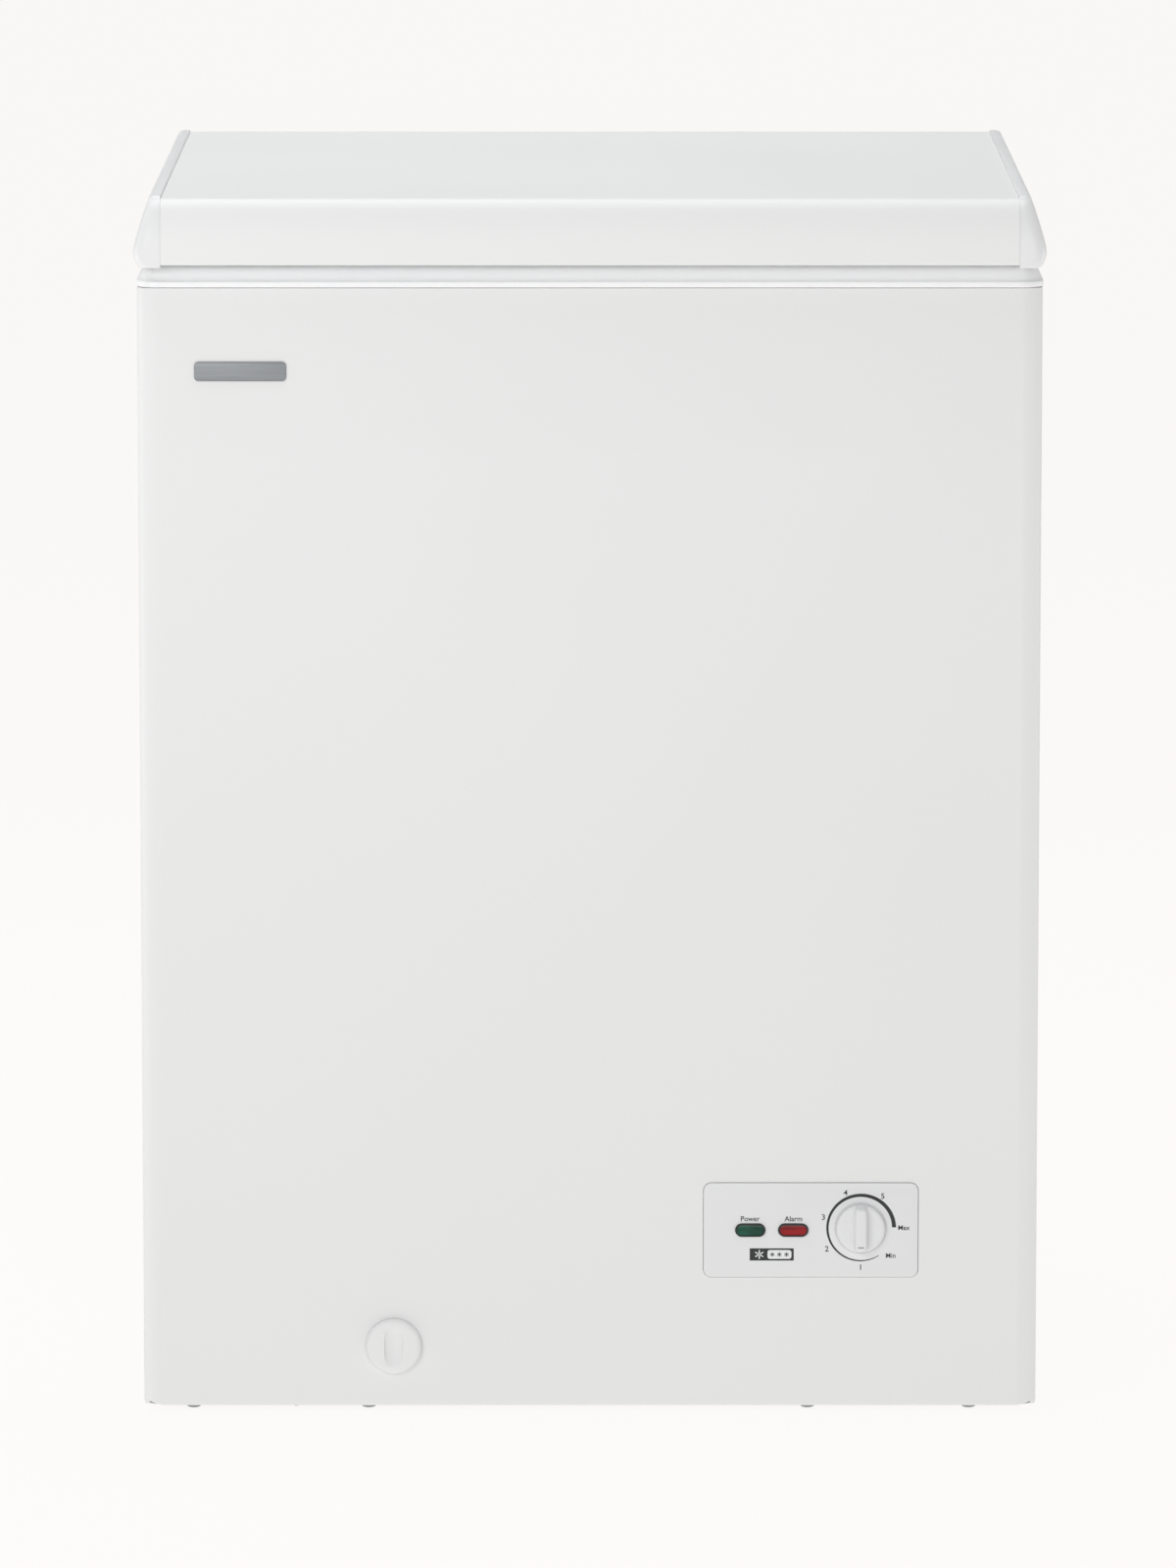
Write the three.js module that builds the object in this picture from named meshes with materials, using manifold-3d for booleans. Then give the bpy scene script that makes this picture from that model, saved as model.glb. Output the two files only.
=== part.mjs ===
// Chest freezer, 142-litre class, as an assembly of separate pieces.
// Millimetres, +Z up. The front faces -Y, +X is to the right when seen from the front, and the origin is on
// the floor under the middle of the whole freezer's box.
import * as THREE from 'three';
import { mergeVertices } from 'three/addons/utils/BufferGeometryUtils.js';
import Module from 'manifold-3d';

const wasm = await Module();
wasm.setup();

// ---------------------------------------------------------------- driving dimensions
const HEIGHT = 845; // floor to the bead on the lid's end caps
const DEPTH = 559; // lid's front lip to the hinge knuckles
const LID_WIDTH = 622;
const CABINET_WIDTH = 618;
const LID_OVERHANG = 12.5; // lid's front lip past the cabinet's front
const HINGE_REACH = 20.5; // hinge knuckles past the cabinet's rear
const GAP = 0.4; // between pieces that meet

const GLIDE_HEIGHT = 5.4;
const CABINET = {
  half: CABINET_WIDTH / 2,
  front: -DEPTH / 2 + LID_OVERHANG,
  rear: DEPTH / 2 - HINGE_REACH,
  bottom: GLIDE_HEIGHT,
  top: 782.4,
  corner: 14,
  sheet: 0.8,
};
const COLLAR = {
  lip: 0.7,
  lipHeight: 4,
  bevel: 5,
  top: 797.5,
  ledgeAt: 46,
  ledge: 790,
  inner: 60.5,
  foot: 768,
};
const TANK = { inset: 57.5, wall: 1, floor: 70, stepFloor: 290, stepAt: 22, top: 786.4, corner: 22 };
const BAY = { left: 72, top: 238 }; // machine compartment, at the right of the base
const LID = {
  half: LID_WIDTH / 2,
  front: -DEPTH / 2,
  rear: 262,
  bottom: 799,
  lipTop: 812,
  top: HEIGHT - 1.5,
  noseBack: 23.5,
  seam: 292,
  sheet: 1,
  capWall: 2.2,
  linerAt: 808,
  plugBottom: 801,
  corner: 9,
};
const PLUG = { left: -236, right: 236, front: -196, rear: 188, corner: 24 }; // lid liner's part in the mouth
const PANEL = { left: 78.5, right: 226.7, bottom: 96, top: 162.2, corner: 5.5, proud: 1.2, thick: 4 };
const KNOB = { x: 187.1, z: 130.7, radius: 16.8, bar: 9, proud: 12 };
const LAMP = { width: 20.4, height: 8.8, z: 129.2, power: 110.8, alarm: 140.5 };
const DRAIN = {
  x: -135.7,
  z: 47.6,
  capRadius: 19.4,
  capThick: 5.2,
  scoopDepth: 3.2,
  scoopWidth: 13,
  scoopHeight: 28,
  bore: 8,
  wall: 3,
  floorY: -185,
};
const HINGE = { x: 200, y: DEPTH / 2 - 8.5, z: 793, knuckle: 8.5, pin: 3 };
const BADGE = { left: -270, right: -207.2, bottom: 718.7, top: 732.1 };
const BASKET = {
  left: -243,
  right: -23,
  front: -193,
  rear: 185,
  bottom: 545,
  top: 735,
  bar: 3.5,
  rail: 4,
};
const COMPRESSOR = { x: 190, y: 110, radius: 70, bottom: 25.6, top: 200 };

// ---------------------------------------------------------------- materials
const finish = (color, roughness, metalness = 0) => new THREE.MeshStandardMaterial({ color, roughness, metalness });
const MATERIALS = {
  whitePaint: finish('#e9eaea', 0.28),
  whitePlastic: finish('#ebecec', 0.35),
  greyPlastic: finish('#c9cccf', 0.5),
  aluminium: finish('#c6c9cc', 0.4, 1),
  foam: finish('#e6d9a8', 0.95),
  copper: finish('#b8734a', 0.35, 1),
  blackPaint: finish('#17181a', 0.45),
  blackPlastic: finish('#1d1e20', 0.55),
  zinc: finish('#b9bcc0', 0.35, 1),
  rubber: finish('#dfe1e2', 0.7),
  darkRubber: finish('#55585b', 0.8),
  greenLens: finish('#0f4a3c', 0.15),
  redLens: finish('#7d1013', 0.15),
  badge: finish('#9a9c9e', 0.3, 0.9),
  coatedWire: finish('#eceeef', 0.4),
};

const part = new THREE.Group();

function add(name, shape, material) {
  const geometry = shape.isBufferGeometry ? shape : geometryOf(shape);
  const mesh = new THREE.Mesh(geometry, material);
  mesh.name = name;
  part.add(mesh);
  return mesh;
}

// ---------------------------------------------------------------- solids
function solidOf(geometry) {
  const bare = new THREE.BufferGeometry();
  const source = geometry.index ? geometry.toNonIndexed() : geometry;
  bare.setAttribute('position', source.getAttribute('position'));
  const merged = mergeVertices(bare, 1e-3);
  return new wasm.Manifold(
    new wasm.Mesh({
      numProp: 3,
      vertProperties: merged.attributes.position.array,
      triVerts: new Uint32Array(merged.index.array),
    }),
  );
}

function geometryOf(solid) {
  const mesh = solid.getMesh();
  const geometry = new THREE.BufferGeometry();
  geometry.setAttribute('position', new THREE.BufferAttribute(mesh.vertProperties, 3));
  geometry.setIndex(new THREE.BufferAttribute(mesh.triVerts, 1));
  return geometry;
}

const cut = (shape, ...tools) => tools.reduce((left, tool) => left.subtract(solidOf(tool)), solidOf(shape));
const join = (shape, ...others) => others.reduce((sum, other) => sum.add(solidOf(other)), solidOf(shape));
const cutFrom = (solid, ...tools) => tools.reduce((left, tool) => left.subtract(solidOf(tool)), solid);

function box(x0, x1, y0, y1, z0, z1) {
  const block = new THREE.BoxGeometry(x1 - x0, y1 - y0, z1 - z0);
  return block.translate((x0 + x1) / 2, (y0 + y1) / 2, (z0 + z1) / 2);
}

const outline = (points) => new THREE.Shape(points.map(([x, y]) => new THREE.Vector2(x, y)));

function extruded(points, depth, holes = []) {
  const shape = outline(points);
  shape.holes = holes.map((hole) => new THREE.Path(hole.map(([x, y]) => new THREE.Vector2(x, y))));
  return new THREE.ExtrudeGeometry(shape, { depth, bevelEnabled: false });
}

// A prism along Z of an [x, y] outline.
const prismZ = (points, z0, z1, holes) => extruded(points, z1 - z0, holes).translate(0, 0, z0);

// A prism along Y of an [x, z] outline.
function prismY(points, y0, y1, holes) {
  return extruded(points, y1 - y0, holes).rotateX(Math.PI / 2).translate(0, y1, 0);
}

// Turns the XY plane upright: x becomes y, y becomes z, and z becomes x.
const STANDING_ALONG_Y = new THREE.Matrix4().makeBasis(
  new THREE.Vector3(0, 1, 0),
  new THREE.Vector3(0, 0, 1),
  new THREE.Vector3(1, 0, 0),
);

// A prism along X of a [y, z] outline.
function prismX(points, x0, x1) {
  return extruded(points, x1 - x0).applyMatrix4(STANDING_ALONG_Y).translate(x0, 0, 0);
}

function arc(cx, cy, radius, from, to, steps) {
  return Array.from({ length: steps + 1 }, (_, i) => {
    const angle = THREE.MathUtils.degToRad(from + ((to - from) * i) / steps);
    return [cx + radius * Math.cos(angle), cy + radius * Math.sin(angle)];
  });
}

// A rounded rectangle, anticlockwise from its lower right corner.
function roundedRect(x0, x1, y0, y1, radius, steps = 4) {
  return [
    ...arc(x1 - radius, y0 + radius, radius, -90, 0, steps),
    ...arc(x1 - radius, y1 - radius, radius, 0, 90, steps),
    ...arc(x0 + radius, y1 - radius, radius, 90, 180, steps),
    ...arc(x0 + radius, y0 + radius, radius, 180, 270, steps),
  ];
}

const circle = (cx, cy, radius, steps = 16) => arc(cx, cy, radius, 0, 360, steps).slice(0, -1);

function cylinder(radius, length, axis, x, y, z, sides = 16) {
  const shape = new THREE.CylinderGeometry(radius, radius, length, sides);
  if (axis === 'x') shape.rotateZ(-Math.PI / 2);
  if (axis === 'z') shape.rotateX(Math.PI / 2);
  return shape.translate(x, y, z);
}

// A turned piece about a vertical axis, from [radius, height] points that start and end on the axis.
function turned(profile, x, y, sides = 20) {
  const points = profile.map(([r, h]) => new THREE.Vector2(r, h));
  return new THREE.LatheGeometry(points, sides).rotateX(Math.PI / 2).translate(x, y, 0);
}

// Triangles that fill a flat ring of points.
function capTriangles(ring) {
  const third = Math.floor(ring.length / 3);
  const plane = new THREE.Plane().setFromCoplanarPoints(ring[0], ring[third], ring[2 * third]);
  const turn = new THREE.Quaternion().setFromUnitVectors(plane.normal, new THREE.Vector3(0, 0, 1));
  const flat = ring.map((p) => p.clone().applyQuaternion(turn));
  return THREE.ShapeUtils.triangulateShape(
    flat.map((p) => new THREE.Vector2(p.x, p.y)),
    [],
  );
}

// A closed surface through rings of points, each with the same count. Rings run anticlockwise as seen from
// the end that the list goes towards. looped joins the last ring to the first. Otherwise the ends are closed.
function skin(rings, looped = false) {
  const count = rings[0].length;
  const index = [];
  const spans = looped ? rings.length : rings.length - 1;
  for (let i = 0; i < spans; i += 1) {
    const next = (i + 1) % rings.length;
    for (let j = 0; j < count; j += 1) {
      const k = (j + 1) % count;
      index.push(i * count + j, i * count + k, next * count + k);
      index.push(i * count + j, next * count + k, next * count + j);
    }
  }
  if (!looped) {
    const last = (rings.length - 1) * count;
    for (const [a, b, c] of capTriangles(rings[0])) index.push(c, b, a);
    for (const [a, b, c] of capTriangles(rings.at(-1))) index.push(last + a, last + b, last + c);
  }
  const geometry = new THREE.BufferGeometry().setFromPoints(rings.flat());
  geometry.setIndex(index);
  return geometry;
}

// A route through points, sampled only at the points themselves, where it faces along the bisector.
class Route extends THREE.Curve {
  constructor(points) {
    super();
    this.points = points.map((p) => new THREE.Vector3(...p));
  }

  getUtoTmapping(u) {
    return u;
  }

  getPoint(t, target = new THREE.Vector3()) {
    return target.copy(this.points[Math.round(t * (this.points.length - 1))]);
  }

  getTangent(t, target = new THREE.Vector3()) {
    const i = Math.round(t * (this.points.length - 1));
    const here = this.points[i];
    const before = this.points[Math.max(i - 1, 0)];
    const after = this.points[Math.min(i + 1, this.points.length - 1)];
    const out = after.clone().sub(here).normalize();
    return target.copy(here).sub(before).normalize().add(out).normalize();
  }
}

// A round tube through points, with its ends closed.
function tube(points, radius, sides = 6) {
  return new THREE.ExtrudeGeometry(outline(circle(0, 0, radius, sides)), {
    steps: points.length - 1,
    extrudePath: new Route(points),
    bevelEnabled: false,
  });
}

// The same points with each inner corner rounded.
function softened(points, radius, steps = 3) {
  const made = [points[0]];
  for (let i = 1; i < points.length - 1; i += 1) {
    const corner = new THREE.Vector3(...points[i]);
    const before = new THREE.Vector3(...points[i - 1]);
    const after = new THREE.Vector3(...points[i + 1]);
    const reach = Math.min(radius, corner.distanceTo(before) / 2.1, corner.distanceTo(after) / 2.1);
    const start = corner.clone().add(before.clone().sub(corner).setLength(reach));
    const end = corner.clone().add(after.clone().sub(corner).setLength(reach));
    const bend = new THREE.QuadraticBezierCurve3(start, corner, end);
    made.push(...bend.getPoints(steps).map((p) => p.toArray()));
  }
  made.push(points.at(-1));
  return made;
}

// A ring of constant section round a rounded rectangle. The section is [inset, z] points, clockwise as seen
// with the inset to the right, and radiusAt gives the corner radius at an inset.
function frameRing(section, half, front, rear, radiusAt, steps = 4) {
  const loops = section.map(([inset, z]) =>
    roundedRect(-half + inset, half - inset, front + inset, rear - inset, radiusAt(inset), steps).map(
      ([x, y]) => new THREE.Vector3(x, y, z),
    ),
  );
  return skin(loops, true);
}

function mirrored(geometry) {
  const flipped = geometry.clone().scale(-1, 1, 1);
  const order = flipped.index.array;
  for (let i = 0; i < order.length; i += 3) [order[i + 1], order[i + 2]] = [order[i + 2], order[i + 1]];
  return flipped;
}

// ---------------------------------------------------------------- cabinet shell
const WRAP_INSIDE = CABINET.half - CABINET.sheet;
const PANEL_HOLE = roundedRect(
  PANEL.left - GAP,
  PANEL.right + GAP,
  PANEL.bottom - GAP,
  PANEL.top + GAP,
  PANEL.corner + GAP,
);

function outerWrap() {
  const { half, front, rear, corner, sheet, bottom, top } = CABINET;
  const outer = [
    [-half, rear],
    ...arc(-half + corner, front + corner, corner, 180, 270, 6),
    ...arc(half - corner, front + corner, corner, 270, 360, 6),
    [half, rear],
  ];
  const inner = [
    [half - sheet, rear],
    ...arc(half - corner, front + corner, corner - sheet, 360, 270, 6),
    ...arc(-half + corner, front + corner, corner - sheet, 270, 180, 6),
    [-half + sheet, rear],
  ];
  return cut(
    prismZ([...outer, ...inner], bottom, top),
    prismY(PANEL_HOLE, front - 5, front + 5),
    cylinder(DRAIN.bore + 1, 10, 'y', DRAIN.x, front, DRAIN.z),
  );
}

const GRILLE = { left: 96, right: 308.4, bottom: 6, top: 244, thick: 3, slats: 11, lap: 8 };
const GLAND = { x: 83, z: 50, flange: 11, stem: 7, bore: 3.8 };

// Cut away below and beside the machine compartment, which the grille closes.
function rearPanel() {
  const edge = WRAP_INSIDE - GAP;
  const inner = GRILLE.left + GRILLE.lap;
  const bottom = CABINET.bottom + 0.2;
  const rim = [
    [-edge, bottom],
    [inner, bottom],
    [inner, GRILLE.top - GRILLE.lap],
    [edge, GRILLE.top - GRILLE.lap],
    [edge, CABINET.top - 0.2],
    [-edge, CABINET.top - 0.2],
  ];
  const hole = circle(GLAND.x, GLAND.z, GLAND.stem + GAP);
  return prismY(rim, CABINET.rear - CABINET.sheet, CABINET.rear, [hole]);
}

const PAN = { bottom: 5.8, top: 7 };
const GLIDES = {
  glide_front_outer_left: [-275, -246],
  glide_front_inner_left: [-153.5, -246],
  glide_front_inner_right: [151, -246],
  glide_front_outer_right: [263, -246],
  glide_rear_left: [-269, 236],
  glide_rear_right: [269, 236],
};

function basePan() {
  const edge = WRAP_INSIDE - GAP;
  const front = CABINET.front + CABINET.sheet + GAP;
  const rear = CABINET.rear - CABINET.sheet - GAP;
  const plate = prismZ(roundedRect(-edge, edge, front, rear, CABINET.corner - 1), PAN.bottom, PAN.top);
  const dimple = new THREE.CylinderGeometry(6, 4, 5.2, 16).rotateX(Math.PI / 2).translate(-204, -246, 3.6);
  return join(plate, dimple);
}

function glide([x, y]) {
  const top = PAN.bottom - 0.3;
  return new THREE.CylinderGeometry(6, 4.2, top, 16).rotateX(Math.PI / 2).translate(x, y, top / 2);
}

// ---------------------------------------------------------------- collar and tank
function collarRadius(inset) {
  return inset < COLLAR.ledgeAt - 1 ? Math.max(CABINET.corner - inset, 3) : TANK.corner - 1;
}

function topCollar() {
  const { lip, lipHeight, bevel, top, ledgeAt, ledge, inner, foot } = COLLAR;
  const seat = CABINET.top + GAP;
  const section = [
    [-lip, seat],
    [-lip, seat + lipHeight],
    [0.2, seat + lipHeight + 1],
    [bevel, top],
    [ledgeAt, top],
    [ledgeAt, ledge],
    [inner, ledge],
    [inner, foot],
    [inner - 2.3, foot],
    [inner - 2.3, ledge - 3],
    [ledgeAt - 3, ledge - 3],
    [ledgeAt - 3, top - 3],
    [bevel + 1.6, top - 3],
    [2.4, seat + lipHeight],
    [2.4, seat],
  ];
  return frameRing(section, CABINET.half, CABINET.front, CABINET.rear, collarRadius);
}

// The tank's form grown by a margin: a full-width upper part over a narrower lower one beside the step.
function tankForm(margin, top) {
  const { inset, floor, stepFloor, stepAt, corner } = TANK;
  const left = -CABINET.half + inset - margin;
  const right = CABINET.half - inset + margin;
  const front = CABINET.front + inset - margin;
  const rear = CABINET.rear - inset + margin;
  return join(
    prismZ(roundedRect(left, right, front, rear, corner + margin, 5), stepFloor - margin, top),
    prismZ(
      roundedRect(left, stepAt + margin, front, rear, corner + margin, 5),
      floor - margin,
      stepFloor + 20,
    ),
  );
}

function tankLiner() {
  const drainHole = cylinder(DRAIN.bore + 0.5, 20, 'z', DRAIN.x, DRAIN.floorY, TANK.floor);
  return tankForm(TANK.wall, TANK.top).subtract(tankForm(0, TANK.top + 10)).subtract(solidOf(drainHole));
}

// ---------------------------------------------------------------- refrigerant circuit
const EVAPORATOR = { radius: 4, turns: 4, bottom: 345, top: 735 };
const CONDENSER = { radius: 2.5, turns: 2, bottom: 320, top: 690 };
const DRIER = { x: 296, y: 60, top: 225.6, bottom: 120, radius: 9.5 };

// A rising rectangular coil, a distance inside the cabinet, that starts and ends on its rear run at startX.
function coil(inset, corner, { turns, bottom, top }, startX) {
  const half = CABINET.half - inset;
  const front = CABINET.front + inset;
  const rear = CABINET.rear - inset;
  const loop = [
    [startX, rear],
    ...arc(-half + corner, rear - corner, corner, 90, 180, 3),
    ...arc(-half + corner, front + corner, corner, 180, 270, 3),
    ...arc(half - corner, front + corner, corner, 270, 360, 3),
    ...arc(half - corner, rear - corner, corner, 0, 90, 3),
  ];
  const flat = [...Array.from({ length: turns }, () => loop).flat(), [startX, rear]];
  const lengths = flat.map((p, i) => (i ? Math.hypot(p[0] - flat[i - 1][0], p[1] - flat[i - 1][1]) : 0));
  const whole = lengths.reduce((sum, length) => sum + length, 0);
  let run = 0;
  return flat.map(([x, y], i) => {
    run += lengths[i];
    return [x, y, bottom + ((top - bottom) * run) / whole];
  });
}

// Each coil lies against its sheet, this far from the cabinet's outside.
const EVAPORATOR_INSET = TANK.inset - TANK.wall - GAP - EVAPORATOR.radius - 1;
const CONDENSER_INSET = CABINET.sheet + GAP + CONDENSER.radius;

// Where the lines come down into the machine compartment.
const TAIL_END = BAY.top - 12;
const EVAPORATOR_INLET = [120, CABINET.rear - EVAPORATOR_INSET, TAIL_END];
const EVAPORATOR_OUTLET = [160, EVAPORATOR_INLET[1] + 2.4 * EVAPORATOR.radius + 4, TAIL_END];
const CONDENSER_INLET = [262, CABINET.rear - CONDENSER_INSET, TAIL_END];

function evaporatorLine() {
  const { radius, bottom, top } = EVAPORATOR;
  const [inX, inY] = EVAPORATOR_INLET;
  const [outX, outY] = EVAPORATOR_OUTLET;
  return [
    EVAPORATOR_INLET,
    [inX, inY, bottom - 12],
    ...coil(EVAPORATOR_INSET, TANK.corner + TANK.inset - EVAPORATOR_INSET, EVAPORATOR, inX),
    [inX - 16, inY + 1, top + 2],
    [inX - 22, inY + radius + 6, top + 6],
    [inX - 10, outY, top + 8],
    [outX - 8, outY, top + 6],
    [outX, outY, top - 4],
    EVAPORATOR_OUTLET,
  ];
}

function condenserLine() {
  const { bottom, top } = CONDENSER;
  const [inX, inY] = CONDENSER_INLET;
  return [
    CONDENSER_INLET,
    [inX, inY, bottom - 10],
    ...coil(CONDENSER_INSET, CABINET.corner - 3, CONDENSER, inX),
    [inX - 12, inY - 1, top + 2],
    [inX - 14, inY - 12, top + 6],
    [inX, inY - 16, top + 8],
    [DRIER.x - 6, inY - 18, top + 8],
    [DRIER.x, inY - 26, top + 8],
    [DRIER.x, DRIER.y + 8, top + 8],
    [DRIER.x, DRIER.y, top],
    [DRIER.x, DRIER.y, DRIER.top + 0.4],
  ];
}

const EVAPORATOR_LINE = evaporatorLine();
const CONDENSER_LINE = condenserLine();

function foamCore() {
  const edge = WRAP_INSIDE - GAP;
  const front = CABINET.front + CABINET.sheet + GAP;
  const rear = CABINET.rear - CABINET.sheet - GAP;
  const rim = roundedRect(-edge, edge, front, rear, CABINET.corner - 1);
  const block = prismZ(rim, PAN.top + GAP, CABINET.top - 1);
  return cutFrom(
    solidOf(block).subtract(tankForm(TANK.wall + GAP, HEIGHT)),
    box(BAY.left, CABINET.half + 5, front - 5, rear + 5, 0, BAY.top),
    tube(EVAPORATOR_LINE, EVAPORATOR.radius + GAP),
    tube(CONDENSER_LINE, CONDENSER.radius + GAP),
    cylinder(DRAIN.bore + DRAIN.wall + GAP, 160, 'y', DRAIN.x, DRAIN.floorY - 80 + 12, DRAIN.z),
    cylinder(DRAIN.bore + DRAIN.wall + GAP, 60, 'z', DRAIN.x, DRAIN.floorY, DRAIN.z + 18),
  );
}

function drainSpout() {
  const outside = DRAIN.bore + DRAIN.wall;
  const mouth = CABINET.front + CABINET.sheet + GAP;
  const bottom = TANK.floor - TANK.wall - GAP;
  const run = DRAIN.floorY - mouth;
  const rise = bottom - DRAIN.z;
  return cutFrom(
    join(
      cylinder(outside, run, 'y', DRAIN.x, mouth + run / 2, DRAIN.z),
      cylinder(outside, rise + 8, 'z', DRAIN.x, DRAIN.floorY, bottom - (rise + 8) / 2),
    ),
    cylinder(DRAIN.bore, run + 10, 'y', DRAIN.x, mouth + run / 2 - 5, DRAIN.z),
    cylinder(DRAIN.bore, rise + 10, 'z', DRAIN.x, DRAIN.floorY, DRAIN.z + rise / 2 + 5),
  );
}

// ---------------------------------------------------------------- machine compartment
const PLATE = { bottom: 22, top: 25, earX: 82, earY: 52, ear: 12 };

function compressorShell() {
  const { x, y, radius, bottom, top } = COMPRESSOR;
  return turned(
    [
      [0, bottom],
      [radius - 14, bottom],
      [radius - 3, bottom + 12],
      [radius - 3, bottom + 78],
      [radius, bottom + 80],
      [radius, bottom + 90],
      [radius - 3, bottom + 92],
      [radius - 4, top - 40],
      [radius - 12, top - 18],
      [radius - 32, top - 4],
      [0, top],
    ],
    x,
    y,
    24,
  );
}

function compressorPlate() {
  const { x, y } = COMPRESSOR;
  const corners = [
    [1, -1],
    [1, 1],
    [-1, 1],
    [-1, -1],
  ];
  const rim = corners.flatMap(([sx, sy], i) =>
    arc(x + sx * PLATE.earX, y + sy * PLATE.earY, PLATE.ear, -90 + 90 * i, 90 * i, 3),
  );
  const holes = corners.map(([sx, sy]) => circle(x + sx * PLATE.earX, y + sy * PLATE.earY, 4.5, 10));
  return prismZ(rim, PLATE.bottom, PLATE.top, holes);
}

function grommet(sx, sy) {
  return cylinder(
    9,
    PLATE.bottom - PAN.top - 2 * GAP,
    'z',
    COMPRESSOR.x + sx * PLATE.earX,
    COMPRESSOR.y + sy * PLATE.earY,
    (PLATE.bottom + PAN.top) / 2,
    14,
  );
}

function startRelayCover() {
  const rear = COMPRESSOR.y - COMPRESSOR.radius - GAP;
  return prismX(
    [
      [rear - 30, 84],
      [rear, 78],
      [rear, 144],
      [rear - 30, 138],
    ],
    COMPRESSOR.x - 25,
    COMPRESSOR.x + 25,
  );
}

function filterDrier() {
  const { x, y, top, bottom, radius } = DRIER;
  return turned(
    [
      [0, bottom],
      [2.4, bottom],
      [2.4, bottom + 6],
      [radius, bottom + 16],
      [radius, top - 16],
      [3.4, top - 6],
      [3.4, top],
      [0, top],
    ],
    x,
    y,
    14,
  );
}

function suctionTube() {
  const { x, y, radius } = COMPRESSOR;
  const [endX, endY, endZ] = EVAPORATOR_OUTLET;
  return tube(
    softened(
      [
        [x - radius - GAP, y, 112],
        [x - radius - 22, y, 112],
        [x - radius - 24, y + 60, 150],
        [x - radius - 20, endY, 180],
        [endX, endY, 200],
        [endX, endY, endZ - GAP],
      ],
      18,
    ),
    EVAPORATOR.radius,
    8,
  );
}

function dischargeTube() {
  const { x, y, radius } = COMPRESSOR;
  const [endX, endY, endZ] = CONDENSER_INLET;
  return tube(
    softened(
      [
        [x + radius + GAP, y, 112],
        [x + radius + 16, y, 112],
        [x + radius + 20, y + 50, 112],
        [x + radius + 20, endY, 150],
        [endX, endY, 200],
        [endX, endY, endZ - GAP],
      ],
      16,
    ),
    CONDENSER.radius,
    8,
  );
}

function capillaryTube() {
  const [endX, endY, endZ] = EVAPORATOR_INLET;
  return tube(
    softened(
      [
        [DRIER.x, DRIER.y, DRIER.bottom - GAP],
        [DRIER.x, DRIER.y, 90],
        [DRIER.x, -20, 40],
        [90, -20, 40],
        [80, 60, 90],
        [80, 130, 212],
        [84, endY, 212],
        [endX, endY, 214],
        [endX, endY, endZ - GAP],
      ],
      24,
    ),
    1.4,
    6,
  );
}

function rearGrille() {
  const { left, right, bottom, top, thick, slats } = GRILLE;
  const pitch = (top - bottom - 28) / slats;
  const middle = (left + right) / 2;
  const holes = [];
  for (let row = 0; row < slats; row += 1) {
    const z = bottom + 14 + pitch * (row + 0.5);
    holes.push(roundedRect(left + 14, middle - 5, z - 5, z + 5, 3, 1));
    holes.push(roundedRect(middle + 5, right - 14, z - 5, z + 5, 3, 1));
  }
  const rear = CABINET.rear + GAP;
  return prismY(roundedRect(left, right, bottom, top, 8, 3), rear, rear + thick, holes);
}

function cordGland() {
  const { x, z, flange, stem, bore } = GLAND;
  const face = CABINET.rear + GAP;
  return cutFrom(
    join(
      cylinder(flange, 4, 'y', x, face + 2, z),
      cylinder(stem, 22, 'y', x, face - 1, z),
    ),
    cylinder(bore, 60, 'y', x, face, z, 12),
  );
}

// ---------------------------------------------------------------- control panel
const PANEL_BACK = CABINET.front - PANEL.proud + PANEL.thick;

function pill(x, z, width, height, margin = 0) {
  const radius = height / 2 + margin - 0.05;
  return roundedRect(
    x - width / 2 - margin,
    x + width / 2 + margin,
    z - height / 2 - margin,
    z + height / 2 + margin,
    radius,
    5,
  );
}

function controlFascia() {
  return prismY(
    roundedRect(PANEL.left, PANEL.right, PANEL.bottom, PANEL.top, PANEL.corner),
    CABINET.front - PANEL.proud,
    PANEL_BACK,
    [
      pill(LAMP.power, LAMP.z, LAMP.width, LAMP.height, 0.3),
      pill(LAMP.alarm, LAMP.z, LAMP.width, LAMP.height, 0.3),
      circle(KNOB.x, KNOB.z, 4),
    ],
  );
}

const lampLens = (x) =>
  prismY(pill(x, LAMP.z, LAMP.width, LAMP.height), CABINET.front - PANEL.proud - 1.2, PANEL_BACK + 14);

function controlBox() {
  const front = PANEL_BACK + GAP;
  const left = PANEL.left + 5;
  const right = PANEL.right - 5;
  const bottom = PANEL.bottom + 5;
  const top = PANEL.top - 5;
  return cut(
    box(left, right, front, front + 42, bottom, top),
    box(left + 2, right - 2, front - 5, front + 40, bottom + 2, top - 2),
    cylinder(5, 20, 'y', 150, front + 42, bottom + 14),
  );
}

function thermostatBody() {
  const front = PANEL_BACK + 8;
  return cut(
    box(KNOB.x - 20, KNOB.x + 20, front, front + 26, KNOB.z - 18, KNOB.z + 18),
    cylinder(3.4, 12, 'y', KNOB.x, front, KNOB.z),
  );
}

function thermostatSpindle() {
  const front = CABINET.front - PANEL.proud - 0.1;
  const rear = PANEL_BACK + 12;
  return cylinder(3, rear - front, 'y', KNOB.x, (front + rear) / 2, KNOB.z);
}

function thermostatKnob() {
  const back = CABINET.front - PANEL.proud - GAP;
  const face = CABINET.front - KNOB.proud;
  const middle = back - 4.4;
  return join(
    cylinder(KNOB.radius, back - middle, 'y', KNOB.x, (back + middle) / 2, KNOB.z, 32),
    prismY(
      roundedRect(
        KNOB.x - KNOB.bar / 2,
        KNOB.x + KNOB.bar / 2,
        KNOB.z - KNOB.radius + 1,
        KNOB.z + KNOB.radius - 1,
        3,
        3,
      ),
      face,
      middle + 1,
    ),
  );
}

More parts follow.
